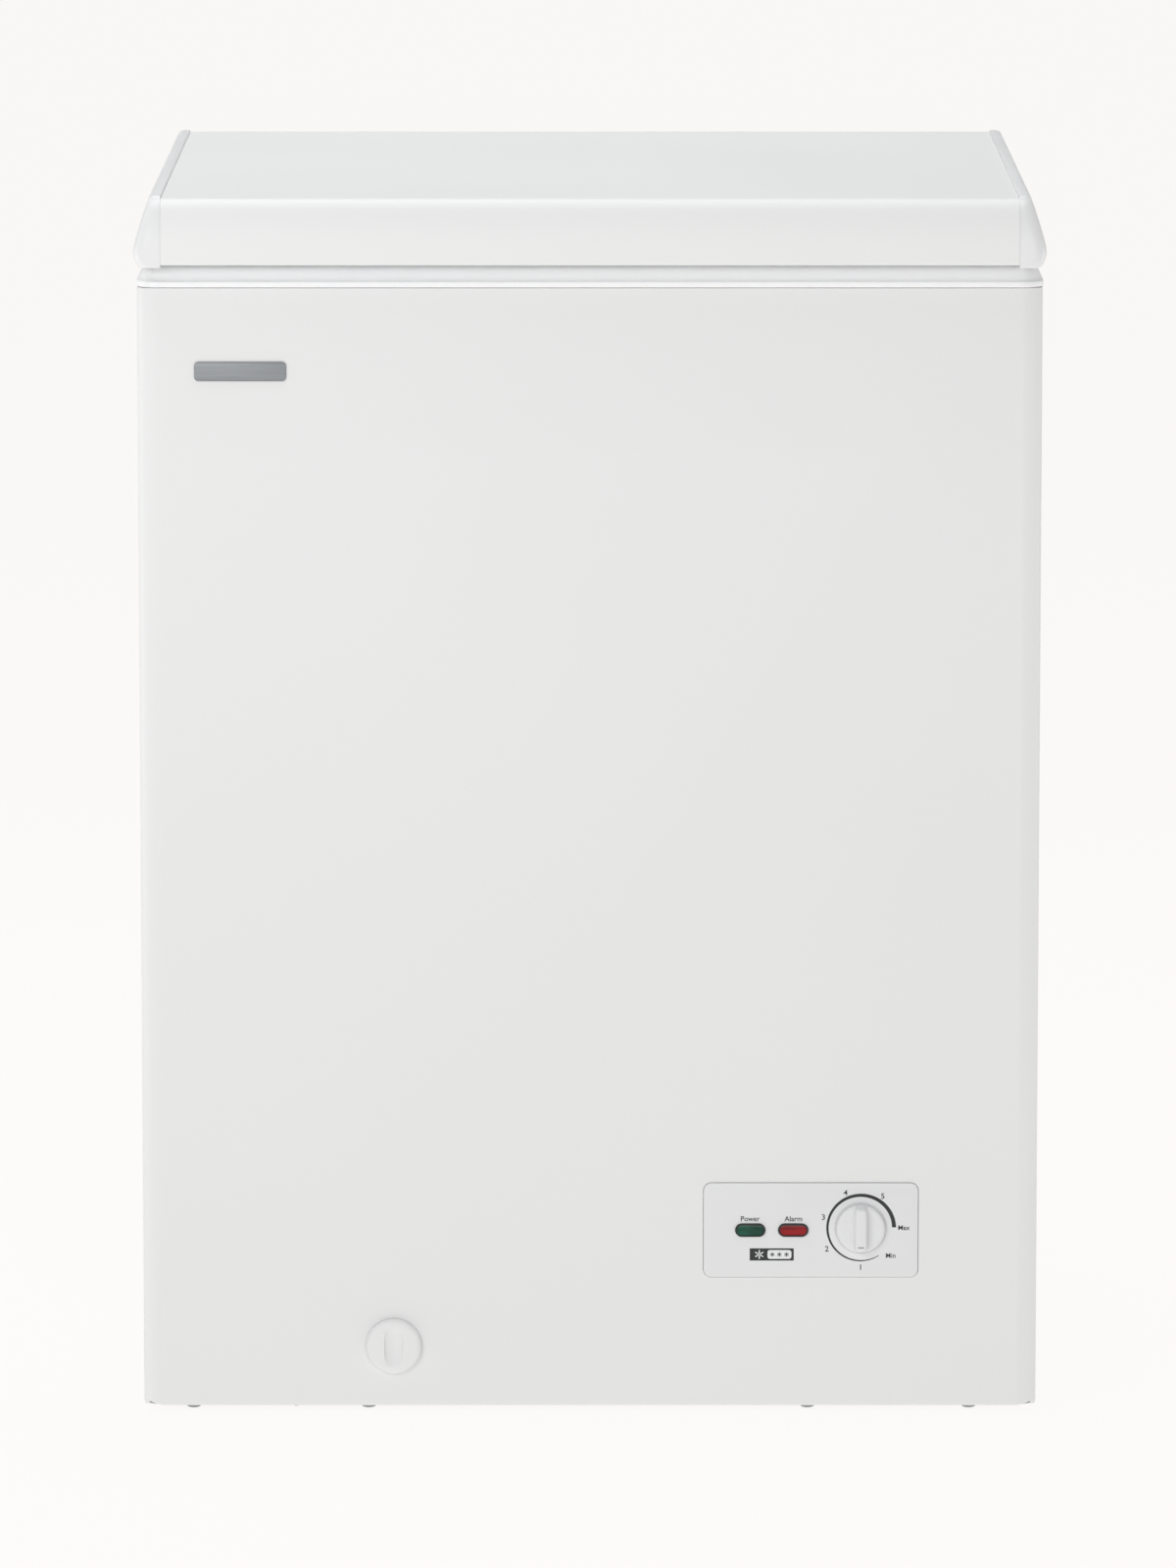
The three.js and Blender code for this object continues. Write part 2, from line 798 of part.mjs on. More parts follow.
function wiringHarness() {
  const start = PANEL_BACK + GAP + 40;
  return tube(
    softened(
      [
        [150, start - 6, PANEL.bottom + 19],
        [150, start + 30, PANEL.bottom + 19],
        [160, start + 120, 60],
        [COMPRESSOR.x, -60, 60],
        [COMPRESSOR.x, -30, 110],
        [COMPRESSOR.x, COMPRESSOR.y - COMPRESSOR.radius - 31, 110],
      ],
      26,
    ),
    3.2,
    8,
  );
}

function namePlate() {
  const rim = roundedRect(BADGE.left, BADGE.right, BADGE.bottom, BADGE.top, 3, 3);
  return prismY(rim, CABINET.front - 1.3, CABINET.front - 0.3);
}

// ---------------------------------------------------------------- drain fittings
// A round push-in cap with a dished finger scoop down its face.
function drainCap() {
  const back = CABINET.front - 0.3;
  const face = back - DRAIN.capThick;
  const stem = 17;
  const { scoopDepth, scoopWidth, scoopHeight } = DRAIN;
  const dish = ((scoopHeight / 2) ** 2 + scoopDepth ** 2) / (2 * scoopDepth);
  return cutFrom(
    join(
      cylinder(DRAIN.capRadius, DRAIN.capThick, 'y', DRAIN.x, (back + face) / 2, DRAIN.z, 32),
      cylinder(DRAIN.bore - 0.5, stem + 2, 'y', DRAIN.x, back + stem / 2 - 1, DRAIN.z),
    ),
    cylinder(dish, scoopWidth, 'x', DRAIN.x, face + scoopDepth - dish, DRAIN.z, 48),
  );
}

function drainPlug() {
  const bottom = TANK.floor + 0.3;
  return join(
    cylinder(16, 3, 'z', DRAIN.x, DRAIN.floorY, bottom + 1.5, 24),
    cylinder(DRAIN.bore - 0.5, 12, 'z', DRAIN.x, DRAIN.floorY, bottom - 5),
    box(DRAIN.x - 9, DRAIN.x + 9, DRAIN.floorY - 2, DRAIN.floorY + 2, bottom + 2, bottom + 13),
  );
}

// ---------------------------------------------------------------- lid
// The front of the lid from its lip to the flat top, as [y, z] points.
const LID_NOSE = new THREE.CubicBezierCurve(
  new THREE.Vector2(LID.front, LID.lipTop),
  new THREE.Vector2(LID.front, LID.lipTop + 16),
  new THREE.Vector2(LID.front + 8.5, LID.top),
  new THREE.Vector2(LID.front + LID.noseBack, LID.top),
)
  .getPoints(8)
  .map((p) => [p.x, p.y]);

// An open line moved to its right.
function offsetLine(points, distance) {
  return points.map((p, i) => {
    const before = points[Math.max(i - 1, 0)];
    const after = points[Math.min(i + 1, points.length - 1)];
    const length = Math.hypot(after[0] - before[0], after[1] - before[1]);
    const across = [(after[1] - before[1]) / length, (before[0] - after[0]) / length];
    return [p[0] + distance * across[0], p[1] + distance * across[1]];
  });
}

function lidTopSkin() {
  const outside = [
    [LID.front + 9, LID.bottom],
    [LID.front + 0.9, LID.bottom],
    [LID.front, LID.bottom + 2],
    ...LID_NOSE,
    [LID.rear - 4, LID.top],
  ];
  return prismX([...outside, ...offsetLine(outside, LID.sheet).reverse()], -LID.seam, LID.seam);
}

function lidRearRail() {
  const { rear, bottom, top } = LID;
  return prismX(
    [
      [rear - 14, bottom],
      [rear, bottom],
      [rear, top],
      [rear - 3.6, top],
      [rear - 3.6, top - 2.4],
      [rear - 2.6, top - 2.4],
      [rear - 2.6, bottom + 2.4],
      [rear - 14, bottom + 2.4],
    ],
    -LID.seam,
    LID.seam,
  );
}

// Half the lid's width at a height: widest a little above its lower edge, and leaning in towards the top.
function lidHalfAt(z) {
  const widest = LID.bottom + 9;
  if (z < widest) return LID.half - 3.8 * ((widest - z) / 11) ** 2;
  return LID.half - 11 * ((z - widest) / (HEIGHT - widest)) ** 1.2;
}

// [y of the front, z] at each level of the end caps, from the bottom up.
const CAP_LEVELS = [
  [LID.front + 2, LID.bottom - 2],
  [LID.front + 0.4, LID.bottom + 0.6],
  [LID.front, LID.bottom + 5],
  [LID.front, LID.bottom + 9],
  ...LID_NOSE.slice(0, -1),
  [LID.front + LID.noseBack + 1, HEIGHT],
];

function capOutline(z, front, inset, inside) {
  const right = lidHalfAt(z) - inset;
  const corner = Math.min(LID.corner - inset, right - inside - 0.6);
  const back = LID.rear - inset;
  return [
    [inside, front + inset],
    ...arc(right - corner, front + inset + corner, corner, 270, 360, 4),
    ...arc(right - corner, back - corner, corner, 0, 90, 4),
    [inside, back],
  ].map(([x, y]) => new THREE.Vector3(x, y, z));
}

function lidEndCap() {
  const seam = LID.seam + 0.3;
  const outer = skin(CAP_LEVELS.map(([front, z]) => capOutline(z, front, 0, seam)));
  const hollow = CAP_LEVELS.slice(0, -1).map(([front, z]) => capOutline(z, front, LID.capWall, seam - 5));
  const under = hollow[0].map((p) => p.clone().setZ(LID.bottom - 10));
  return cut(outer, skin([under, ...hollow]));
}

function lidLevel(z, front, inset, corner) {
  const half = lidHalfAt(z) - inset;
  const rim = roundedRect(-half, half, front + inset, LID.rear - inset, corner, 3);
  return rim.map(([x, y]) => new THREE.Vector3(x, y, z));
}

function lidFoam() {
  const bottom = LID.linerAt + 2;
  const levels = CAP_LEVELS.filter(([, z]) => z > bottom && z < LID.top - 2);
  const inset = LID.capWall + 1;
  return skin([
    lidLevel(bottom, LID.front, inset, 8),
    ...levels.map(([front, z]) => lidLevel(z, front, inset, 8)),
  ]);
}

function lidInnerLiner() {
  const wall = 1.6;
  const plate = [-LID.half + 4, LID.half - 4, LID.front + 2.5, LID.rear - 4.5];
  const { left, right, front, rear, corner } = PLUG;
  const inner = [left + wall, right - wall, front + wall, rear - wall];
  return cutFrom(
    join(
      prismZ(roundedRect(...plate, 12), LID.linerAt, LID.linerAt + wall),
      prismZ(roundedRect(left, right, front, rear, corner), LID.plugBottom, LID.linerAt + 1),
    ),
    prismZ(roundedRect(...inner, corner - wall), LID.plugBottom + wall, LID.linerAt + 5),
  );
}

function lidGasket() {
  const seat = COLLAR.top + 0.4;
  const back = LID.linerAt - GAP;
  const section = [
    [0, seat + 4],
    [0, back],
    [16, back],
    [16, seat + 4],
    [13, seat],
    [3, seat],
  ];
  return frameRing(section, 292, -250, 242, (inset) => 24 - inset / 2);
}

// ---------------------------------------------------------------- hinges
function hingeBase(x) {
  const face = CABINET.rear + GAP;
  const cheek = [
    [face + 1, HINGE.z - 26],
    [face + 7, HINGE.z - 26],
    ...arc(HINGE.y, HINGE.z, HINGE.knuckle, -20, 180, 8),
    [face + 1, HINGE.z - 9],
  ];
  return cutFrom(
    join(
      box(x - 30, x + 30, face, face + 2.4, HINGE.z - 90, CABINET.top),
      prismX(cheek, x - 16, x - 13),
      prismX(cheek, x + 13, x + 16),
    ),
    cylinder(HINGE.pin + 0.2, 80, 'x', x, HINGE.y, HINGE.z),
  );
}

function hingeLeaf(x) {
  const face = LID.rear + 0.3;
  const web = [
    [face, HINGE.z + 6],
    [HINGE.y, HINGE.z + HINGE.knuckle - 0.6],
    [HINGE.y - 3, HINGE.z + 12],
    [face + 2.4, HINGE.z + 20],
    [face, HINGE.z + 20],
  ];
  return cutFrom(
    join(
      box(x - 28, x + 28, face, face + 2.4, HINGE.z + 15, HINGE.z + 46),
      prismX(web, x - 12, x + 12),
      cylinder(HINGE.knuckle - 0.3, 24, 'x', x, HINGE.y, HINGE.z, 20),
    ),
    cylinder(HINGE.pin + 0.2, 80, 'x', x, HINGE.y, HINGE.z),
  );
}

function hingePin(x) {
  return join(
    cylinder(HINGE.pin, 36, 'x', x, HINGE.y, HINGE.z),
    cylinder(HINGE.pin + 2, 2.4, 'x', x - 18, HINGE.y, HINGE.z),
  );
}

// ---------------------------------------------------------------- basket
// A flat lattice of bars in the XY plane, from z = 0 up by one bar: columns by rows inside a rim.
function lattice(u0, u1, v0, v1, columns, rows) {
  const { bar, rail } = BASKET;
  const stepU = (u1 - u0 - 2 * rail + bar) / columns;
  const stepV = (v1 - v0 - 2 * rail + bar) / rows;
  const holes = [];
  for (let i = 0; i < columns; i += 1) {
    for (let j = 0; j < rows; j += 1) {
      const u = u0 + rail + i * stepU;
      const v = v0 + rail + j * stepV;
      holes.push(box(u, u + stepU - bar, v, v + stepV - bar, -5, bar + 5));
    }
  }
  return geometryOf(cut(box(u0, u1, v0, v1, 0, bar), ...holes));
}

function basketWallAcross(y) {
  const { left, right, bottom, top, bar } = BASKET;
  return lattice(left, right, bottom, top, 4, 3).rotateX(Math.PI / 2).translate(0, y + bar, 0);
}

function basketWallAlong(x) {
  const { front, rear, bottom, top, bar } = BASKET;
  const flat = lattice(front + bar + 0.3, rear - bar - 0.3, bottom, top, 6, 3);
  return flat.applyMatrix4(STANDING_ALONG_Y).translate(x, 0, 0);
}

function basketFloor() {
  const { left, right, front, rear, bottom, bar } = BASKET;
  const inset = bar + 0.3;
  return lattice(left + inset, right - inset, front + inset, rear - inset, 4, 6).translate(0, 0, bottom);
}

// A wire that hooks over the collar's ledge and turns on the basket's top rail. side is -1 at the front.
function basketHanger(side) {
  const { left, right, front, rear, top, bar } = BASKET;
  const pivotY = side < 0 ? front + bar / 2 : rear - bar / 2;
  const pivotZ = top - 2;
  const wire = 2;
  const x0 = left + 27;
  const x1 = right - 27;
  const hook = pivotY + side * 22;
  const bend = COLLAR.ledge + wire + 0.5;
  const run = softened(
    [
      [x0, pivotY + side * 0.5, pivotZ + 4.5],
      [x0, pivotY + side * 6, bend],
      [x0, hook, bend],
      [x1, hook, bend],
      [x1, pivotY + side * 6, bend],
      [x1, pivotY + side * 0.5, pivotZ + 4.5],
    ],
    7,
  );
  const eye = (x) => {
    const outer = cylinder(6, 4, 'x', x, pivotY, pivotZ, 14);
    const inner = cylinder(3.1, 10, 'x', x, pivotY, pivotZ, 14);
    return cut(outer, inner);
  };
  return cutFrom(
    solidOf(tube(run, wire, 8)).add(eye(x0)).add(eye(x1)),
    cylinder(3.1, 400, 'x', (x0 + x1) / 2, pivotY, pivotZ, 14),
  );
}

// ---------------------------------------------------------------- assembly
add('outer_wrap', outerWrap(), MATERIALS.whitePaint);
add('rear_panel', rearPanel(), MATERIALS.zinc);
add('base_pan', basePan(), MATERIALS.zinc);
for (const [name, place] of Object.entries(GLIDES)) add(name, glide(place), MATERIALS.greyPlastic);
add('top_collar', topCollar(), MATERIALS.whitePlastic);
add('tank_liner', tankLiner(), MATERIALS.aluminium);
add('foam_core', foamCore(), MATERIALS.foam);
add('evaporator_coil', tube(EVAPORATOR_LINE, EVAPORATOR.radius), MATERIALS.aluminium);
add('condenser_coil', tube(CONDENSER_LINE, CONDENSER.radius), MATERIALS.copper);
add('drain_spout', drainSpout(), MATERIALS.greyPlastic);

add('compressor_shell', compressorShell(), MATERIALS.blackPaint);
add('compressor_mount_plate', compressorPlate(), MATERIALS.zinc);
for (const [sx, acrossName] of [[-1, 'left'], [1, 'right']]) {
  for (const [sy, alongName] of [[-1, 'front'], [1, 'rear']]) {
    add(`compressor_grommet_${alongName}_${acrossName}`, grommet(sx, sy), MATERIALS.darkRubber);
  }
}
add('start_relay_cover', startRelayCover(), MATERIALS.blackPlastic);
add('filter_drier', filterDrier(), MATERIALS.copper);
add('suction_tube', suctionTube(), MATERIALS.copper);
add('discharge_tube', dischargeTube(), MATERIALS.copper);
add('capillary_tube', capillaryTube(), MATERIALS.copper);
add('rear_grille', rearGrille(), MATERIALS.greyPlastic);
add('cord_gland', cordGland(), MATERIALS.blackPlastic);

add('control_fascia', controlFascia(), MATERIALS.whitePlastic);
add('control_box', controlBox(), MATERIALS.greyPlastic);
add('thermostat_body', thermostatBody(), MATERIALS.zinc);
add('thermostat_spindle', thermostatSpindle(), MATERIALS.zinc);
add('thermostat_knob', thermostatKnob(), MATERIALS.whitePlastic);
add('power_lamp', lampLens(LAMP.power), MATERIALS.greenLens);
add('alarm_lamp', lampLens(LAMP.alarm), MATERIALS.redLens);
add('wiring_harness', wiringHarness(), MATERIALS.blackPlastic);
add('name_plate', namePlate(), MATERIALS.badge);
add('drain_cap', drainCap(), MATERIALS.whitePlastic);
add('drain_plug', drainPlug(), MATERIALS.rubber);

add('lid_top_skin', lidTopSkin(), MATERIALS.whitePaint);
add('lid_rear_rail', lidRearRail(), MATERIALS.whitePlastic);
const rightCap = geometryOf(lidEndCap());
add('lid_end_cap_right', rightCap, MATERIALS.whitePlastic);
add('lid_end_cap_left', mirrored(rightCap), MATERIALS.whitePlastic);
add('lid_foam', lidFoam(), MATERIALS.foam);
add('lid_inner_liner', lidInnerLiner(), MATERIALS.whitePlastic);
add('lid_gasket', lidGasket(), MATERIALS.rubber);

for (const [side, x] of [
  ['left', -HINGE.x],
  ['right', HINGE.x],
]) {
  add(`hinge_base_${side}`, hingeBase(x), MATERIALS.whitePaint);
  add(`hinge_leaf_${side}`, hingeLeaf(x), MATERIALS.whitePaint);
  add(`hinge_pin_${side}`, hingePin(x), MATERIALS.zinc);
}

add('basket_floor', basketFloor(), MATERIALS.coatedWire);
add('basket_wall_front', basketWallAcross(BASKET.front), MATERIALS.coatedWire);
add('basket_wall_rear', basketWallAcross(BASKET.rear - BASKET.bar), MATERIALS.coatedWire);
add('basket_wall_left', basketWallAlong(BASKET.left), MATERIALS.coatedWire);
add('basket_wall_right', basketWallAlong(BASKET.right - BASKET.bar), MATERIALS.coatedWire);
add('basket_hanger_front', basketHanger(-1), MATERIALS.coatedWire);
add('basket_hanger_rear', basketHanger(1), MATERIALS.coatedWire);

export default part;
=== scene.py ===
"""Chest freezer: the finished surfaces of each piece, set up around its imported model, with a studio."""

from math import cos, pi, radians, sin, tan, tau

import bmesh
import bpy
from bpy.props import FloatProperty, FloatVectorProperty, PointerProperty
from mathutils import Matrix, Vector
from mathutils.geometry import tessellate_polygon


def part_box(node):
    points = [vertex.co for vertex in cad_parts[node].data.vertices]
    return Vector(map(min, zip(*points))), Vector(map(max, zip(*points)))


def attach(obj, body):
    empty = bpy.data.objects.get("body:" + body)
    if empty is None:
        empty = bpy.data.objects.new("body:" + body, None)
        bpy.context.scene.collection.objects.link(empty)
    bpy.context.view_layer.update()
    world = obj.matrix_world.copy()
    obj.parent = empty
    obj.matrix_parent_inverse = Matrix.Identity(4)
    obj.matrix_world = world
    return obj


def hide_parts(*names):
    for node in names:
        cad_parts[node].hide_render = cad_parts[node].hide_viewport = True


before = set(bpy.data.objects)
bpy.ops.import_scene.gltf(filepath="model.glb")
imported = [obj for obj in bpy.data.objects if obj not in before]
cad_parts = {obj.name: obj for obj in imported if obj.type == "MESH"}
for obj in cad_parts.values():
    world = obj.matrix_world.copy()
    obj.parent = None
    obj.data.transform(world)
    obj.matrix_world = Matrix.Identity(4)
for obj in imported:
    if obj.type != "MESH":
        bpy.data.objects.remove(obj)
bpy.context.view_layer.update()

bl_info = {
    "name": "Chest freezer",
    "version": (1, 0, 0),
    "blender": (4, 5, 0),
    "location": "3D Viewport > Sidebar > Freezer",
    "description": "Builds the visible pieces of a small chest freezer and the studio around it",
    "category": "Object",
}

MM = 0.001


# ------------------------------------------------------------------ outlines


def arc(cx, cy, radius, start, end, steps):
    """Points on an arc, with its angles in degrees."""
    turn = [radians(start + (end - start) * i / steps) for i in range(steps + 1)]
    return [(cx + radius * cos(a), cy + radius * sin(a)) for a in turn]


def rounded(x0, x1, y0, y1, radius, steps=8, support=0.0):
    """A rounded rectangle, anticlockwise. support adds a point that far before and after each corner."""
    corners = [
        (x1 - radius, y0 + radius, -90),
        (x1 - radius, y1 - radius, 0),
        (x0 + radius, y1 - radius, 90),
        (x0 + radius, y0 + radius, 180),
    ]
    points = []
    for cx, cy, start in corners:
        corner = arc(cx, cy, radius, start, start + 90, steps)
        if support:
            along = Vector((cos(radians(start + 90)), sin(radians(start + 90)))) * support
            first, last = Vector(corner[0]) - along, corner[-1]
            along = Vector((cos(radians(start + 180)), sin(radians(start + 180)))) * support
            corner = [tuple(first), *corner, tuple(Vector(last) + along)]
        points += corner
    return points


def circle(cx, cy, radius, steps=48):
    """A full circle of points."""
    return arc(cx, cy, radius, 0, 360, steps)[:-1]


def softened(points, radius, steps=6):
    """The same open line of 3D points with each inner corner rounded."""
    line = [Vector(p) for p in points]
    made = [line[0]]
    for before, corner, after in zip(line, line[1:], line[2:]):
        reach = min(radius, (before - corner).length / 2.05, (after - corner).length / 2.05)
        start = corner + (before - corner).normalized() * reach
        end = corner + (after - corner).normalized() * reach
        for i in range(steps + 1):
            t = i / steps
            made.append(start.lerp(corner, t).lerp(corner.lerp(end, t), t))
    return made + [line[-1]]


# ------------------------------------------------------------------ surfaces


def loft(rings, looped=False):
    """A closed surface through rings of equally many points. looped joins the last ring to the first."""
    count = len(rings[0])
    verts = [tuple(p) for ring in rings for p in ring]
    faces = []
    for i in range(len(rings) if looped else len(rings) - 1):
        a, b = i * count, (i + 1) % len(rings) * count
        for j in range(count):
            k = (j + 1) % count
            faces.append((a + j, a + k, b + k, b + j))
    if not looped:
        faces.append(tuple(reversed(range(count))))
        faces.append(tuple(len(verts) - count + j for j in range(count)))
    return verts, faces


def frame_ring(section, x0, x1, y0, y1, radius_at, steps=8):
    """A closed section of (inset, z) points carried round a rounded rectangle."""
    loops = []
    for inset, z in section:
        edge = rounded(x0 + inset, x1 - inset, y0 + inset, y1 - inset, radius_at(inset), steps, 1.5 * MM)
        loops.append([(x, y, z) for x, y in edge])
    return loft(loops, looped=True)


def turned(profile, centre, axis="Z", steps=48):
    """A turned piece from (radius, height) points whose ends lie on the axis, standing on centre."""
    verts = [(0, 0, profile[0][1])]
    for radius, height in profile[1:-1]:
        verts += [(x, y, height) for x, y in circle(0, 0, radius, steps)]
    verts.append((0, 0, profile[-1][1]))
    faces = [(0, 1 + (j + 1) % steps, 1 + j) for j in range(steps)]
    for i in range(len(profile) - 3):
        a, b = 1 + i * steps, 1 + (i + 1) * steps
        faces += [(a + j, a + (j + 1) % steps, b + (j + 1) % steps, b + j) for j in range(steps)]
    a, tip = len(verts) - 1 - steps, len(verts) - 1
    faces += [(a + j, a + (j + 1) % steps, tip) for j in range(steps)]
    turn = {
        "Z": Matrix.Identity(4),
        "-Y": Matrix.Rotation(radians(90), 4, "X"),
        "Y": Matrix.Rotation(radians(-90), 4, "X"),
        "X": Matrix.Rotation(radians(90), 4, "Y"),
    }[axis]
    place = Matrix.Translation(centre) @ turn
    return [tuple(place @ Vector(v)) for v in verts], faces


def tube(points, radius, sides=16, closed=False):
    """A round tube along 3D points."""
    line = [Vector(p) for p in points]
    count = len(line)
    along = []
    for i, p in enumerate(line):
        before = line[(i - 1) % count] if closed or i else p
        after = line[(i + 1) % count] if closed or i < count - 1 else p
        along.append((after - before).normalized())
    side = Vector((0.31, 0.57, 0.76)).cross(along[0]).normalized()
    rings = []
    for i, p in enumerate(line):
        if i:
            side = along[i - 1].rotation_difference(along[i]) @ side
        up = along[i].cross(side).normalized()
        rings.append(
            [p + (side * cos(tau * j / sides) + up * sin(tau * j / sides)) * radius for j in range(sides)]
        )
    return loft(rings, looped=closed)


def prism(outline, a, b, axis="Z", holes=()):
    """A flat piece between a and b. Its outline and holes are (x, y), (x, z) or (y, z) points by axis."""
    place = {
        "Z": lambda u, v, w: (u, v, w),
        "Y": lambda u, v, w: (u, w, v),
        "X": lambda u, v, w: (w, u, v),
    }[axis]
    loops = [list(outline), *[list(h) for h in holes]]
    flat = [p for loop in loops for p in loop]
    count = len(flat)
    verts = [place(u, v, a) for u, v in flat] + [place(u, v, b) for u, v in flat]
    triangles = tessellate_polygon([[Vector((u, v, 0)) for u, v in loop] for loop in loops])
    faces = [tuple(t) for t in triangles] + [tuple(count + i for i in reversed(t)) for t in triangles]
    start = 0
    for loop in loops:
        n = len(loop)
        for i in range(n):
            j = (i + 1) % n
            faces.append((start + i, start + j, count + start + j, count + start + i))
        start += n
    return verts, faces


def bar_outline(x0, x1, y0, y1, radius, steps):
    """The outline of a rounded bar, as a function of how far it is drawn in."""
    return lambda inset: rounded(x0 + inset, x1 - inset, y0 + inset, y1 - inset, radius - inset, steps)


def cushion_edge(outline_at, levels, axis="Y"):
    """A flat piece with shaped edges. outline_at(inset) is its outline, and levels are (inset, height)."""
    place = {"Y": lambda u, v, w: (u, w, v), "Z": lambda u, v, w: (u, v, w)}[axis]
    return loft([[place(u, v, height) for u, v in outline_at(inset)] for inset, height in levels])


def mirrored(shape):
    """The same shape on the other side of the middle."""
    verts, faces = shape
    return [(-x, y, z) for x, y, z in verts], [tuple(reversed(f)) for f in faces]


def joined(*shapes):
    """Several shapes as one list of points and faces."""
    verts, faces = [], []
    for some_verts, some_faces in shapes:
        start = len(verts)
        verts += list(some_verts)
        faces += [tuple(start + i for i in f) for f in some_faces]
    return verts, faces


# ------------------------------------------------------------------ objects


def placed(name, data):
    """A new object of the scene that shows some data."""
    made = bpy.data.objects.new(name, data)
    bpy.context.scene.collection.objects.link(made)
    return made


def plain_object(name, shape):
    """An object of a closed shape, with its faces turned outwards."""
    mesh = bpy.data.meshes.new(name)
    verts, faces = shape
    mesh.from_pydata([tuple(v) for v in verts], [], faces)
    form = bmesh.new()
    form.from_mesh(mesh)
    bmesh.ops.remove_doubles(form, verts=form.verts, dist=1e-6)
    bmesh.ops.recalc_face_normals(form, faces=form.faces)
    form.to_mesh(mesh)
    form.free()
    return placed(name, mesh)


def baked(made, name):
    """A plain copy of an object with its modifiers in its mesh. The first object is removed."""
    bpy.context.view_layer.update()
    graph = bpy.context.evaluated_depsgraph_get()
    mesh = bpy.data.meshes.new_from_object(made.evaluated_get(graph), depsgraph=graph)
    mesh.name = name
    copy = placed(name, mesh)
    bpy.data.objects.remove(made)
    copy.name = name
    return copy


def carved(made, *cutters):
    """The object with the cutters' shapes taken out of it."""
    name = made.name
    for cutter in cutters:
        step = made.modifiers.new("cut", "BOOLEAN")
        step.object = cutter
        step.solver = "EXACT"
    made.name = name + "_uncut"
    result = baked(made, name)
    for cutter in cutters:
        bpy.data.objects.remove(cutter)
    return result


def finished(made, material, body, stands_for=(), crease=32):
    """Gives an object its shading, material and place among the bodies."""
    made.data.materials.clear()
    made.data.materials.append(material)
    made.data.shade_smooth()
    made.data.set_sharp_from_angle(angle=radians(crease))
    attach(made, body)
    if stands_for:
        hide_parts(*stands_for)
    return made


def piece(name, shape, material, body, stands_for=(), crease=32):
    """A finished piece made straight from a shape."""
    return finished(plain_object(name, shape), material, body, stands_for, crease)


def recoat(material, *nodes):
    """Gives carried-over solids a material of their own."""
    for name in nodes:
        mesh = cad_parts[name].data
        mesh.materials.clear()
        mesh.materials.append(material)


# ------------------------------------------------------------------ Geometry Nodes


def new_tree(name, inputs):
    """An empty tree with the named inputs, and the identifiers of their sockets."""
    tree = bpy.data.node_groups.new(name, "GeometryNodeTree")
    tree.interface.new_socket(name="Geometry", in_out="OUTPUT", socket_type="NodeSocketGeometry")
    tree.interface.new_socket(name="Geometry", in_out="INPUT", socket_type="NodeSocketGeometry")
    keys = {}
    for label, kind in inputs.items():
        keys[label] = tree.interface.new_socket(name=label, in_out="INPUT", socket_type=kind).identifier
    return tree, keys


def add_node(tree, kind, settings=None, **links):
    """Adds one node. settings are its own attributes, and links fill its inputs by name."""
    made = tree.nodes.new(kind)
    for name, value in (settings or {}).items():
        setattr(made, name, value)
    for name, value in links.items():
        key = name.replace("_", " ")
        if isinstance(value, bpy.types.NodeSocket):
            tree.links.new(value, made.inputs[key])
        else:
            made.inputs[key].default_value = value
    return made


def end_tree(tree, copies, material):
    """Makes the copies real geometry, gives them their material and ends the tree."""
    solid = add_node(tree, "GeometryNodeRealizeInstances", Geometry=copies.outputs[0])
    coat = add_node(tree, "GeometryNodeSetMaterial", Geometry=solid.outputs[0], Material=material)
    add_node(tree, "NodeGroupOutput", Geometry=coat.outputs[0])


def wire_rows_tree():
    """One bent wire as edges becomes a round wire, and is set out in a straight row."""
    tree, keys = new_tree(
        "wire_rows",
        {
            "Wire Radius": "NodeSocketFloat",
            "Sides": "NodeSocketInt",
            "Count": "NodeSocketInt",
            "Step": "NodeSocketVector",
            "Material": "NodeSocketMaterial",
        },
    )
    given = tree.nodes.new("NodeGroupInput").outputs
    line = add_node(tree, "GeometryNodeMeshToCurve", Mesh=given["Geometry"])
    section = add_node(
        tree, "GeometryNodeCurvePrimitiveCircle", Radius=given["Wire Radius"], Resolution=given["Sides"]
    )
    wire = add_node(tree, "GeometryNodeCurveToMesh", Curve=line.outputs[0], Profile_Curve=section.outputs[0])
    wire.inputs["Fill Caps"].default_value = True
    row = add_node(
        tree, "GeometryNodeMeshLine", {"mode": "OFFSET"}, Count=given["Count"], Offset=given["Step"]
    )
    copies = add_node(tree, "GeometryNodeInstanceOnPoints", Points=row.outputs[0], Instance=wire.outputs[0])
    end_tree(tree, copies, given["Material"])
    return tree, keys


def rows_tree():
    """A shape is set out in a straight row."""
    tree, keys = new_tree(
        "rows", {"Count": "NodeSocketInt", "Step": "NodeSocketVector", "Material": "NodeSocketMaterial"}
    )
    given = tree.nodes.new("NodeGroupInput").outputs
    row = add_node(
        tree, "GeometryNodeMeshLine", {"mode": "OFFSET"}, Count=given["Count"], Offset=given["Step"]
    )
    copies = add_node(tree, "GeometryNodeInstanceOnPoints", Points=row.outputs[0], Instance=given["Geometry"])
    end_tree(tree, copies, given["Material"])
    return tree, keys


def places_tree():
    """A copy of one object stands on each vertex."""
    tree, keys = new_tree("places", {"Shape": "NodeSocketObject", "Material": "NodeSocketMaterial"})
    given = tree.nodes.new("NodeGroupInput").outputs
    shape = add_node(tree, "GeometryNodeObjectInfo", Object=given["Shape"])
    copies = add_node(
        tree, "GeometryNodeInstanceOnPoints", Points=given["Geometry"], Instance=shape.outputs["Geometry"]
    )
    end_tree(tree, copies, given["Material"])
    return tree, keys


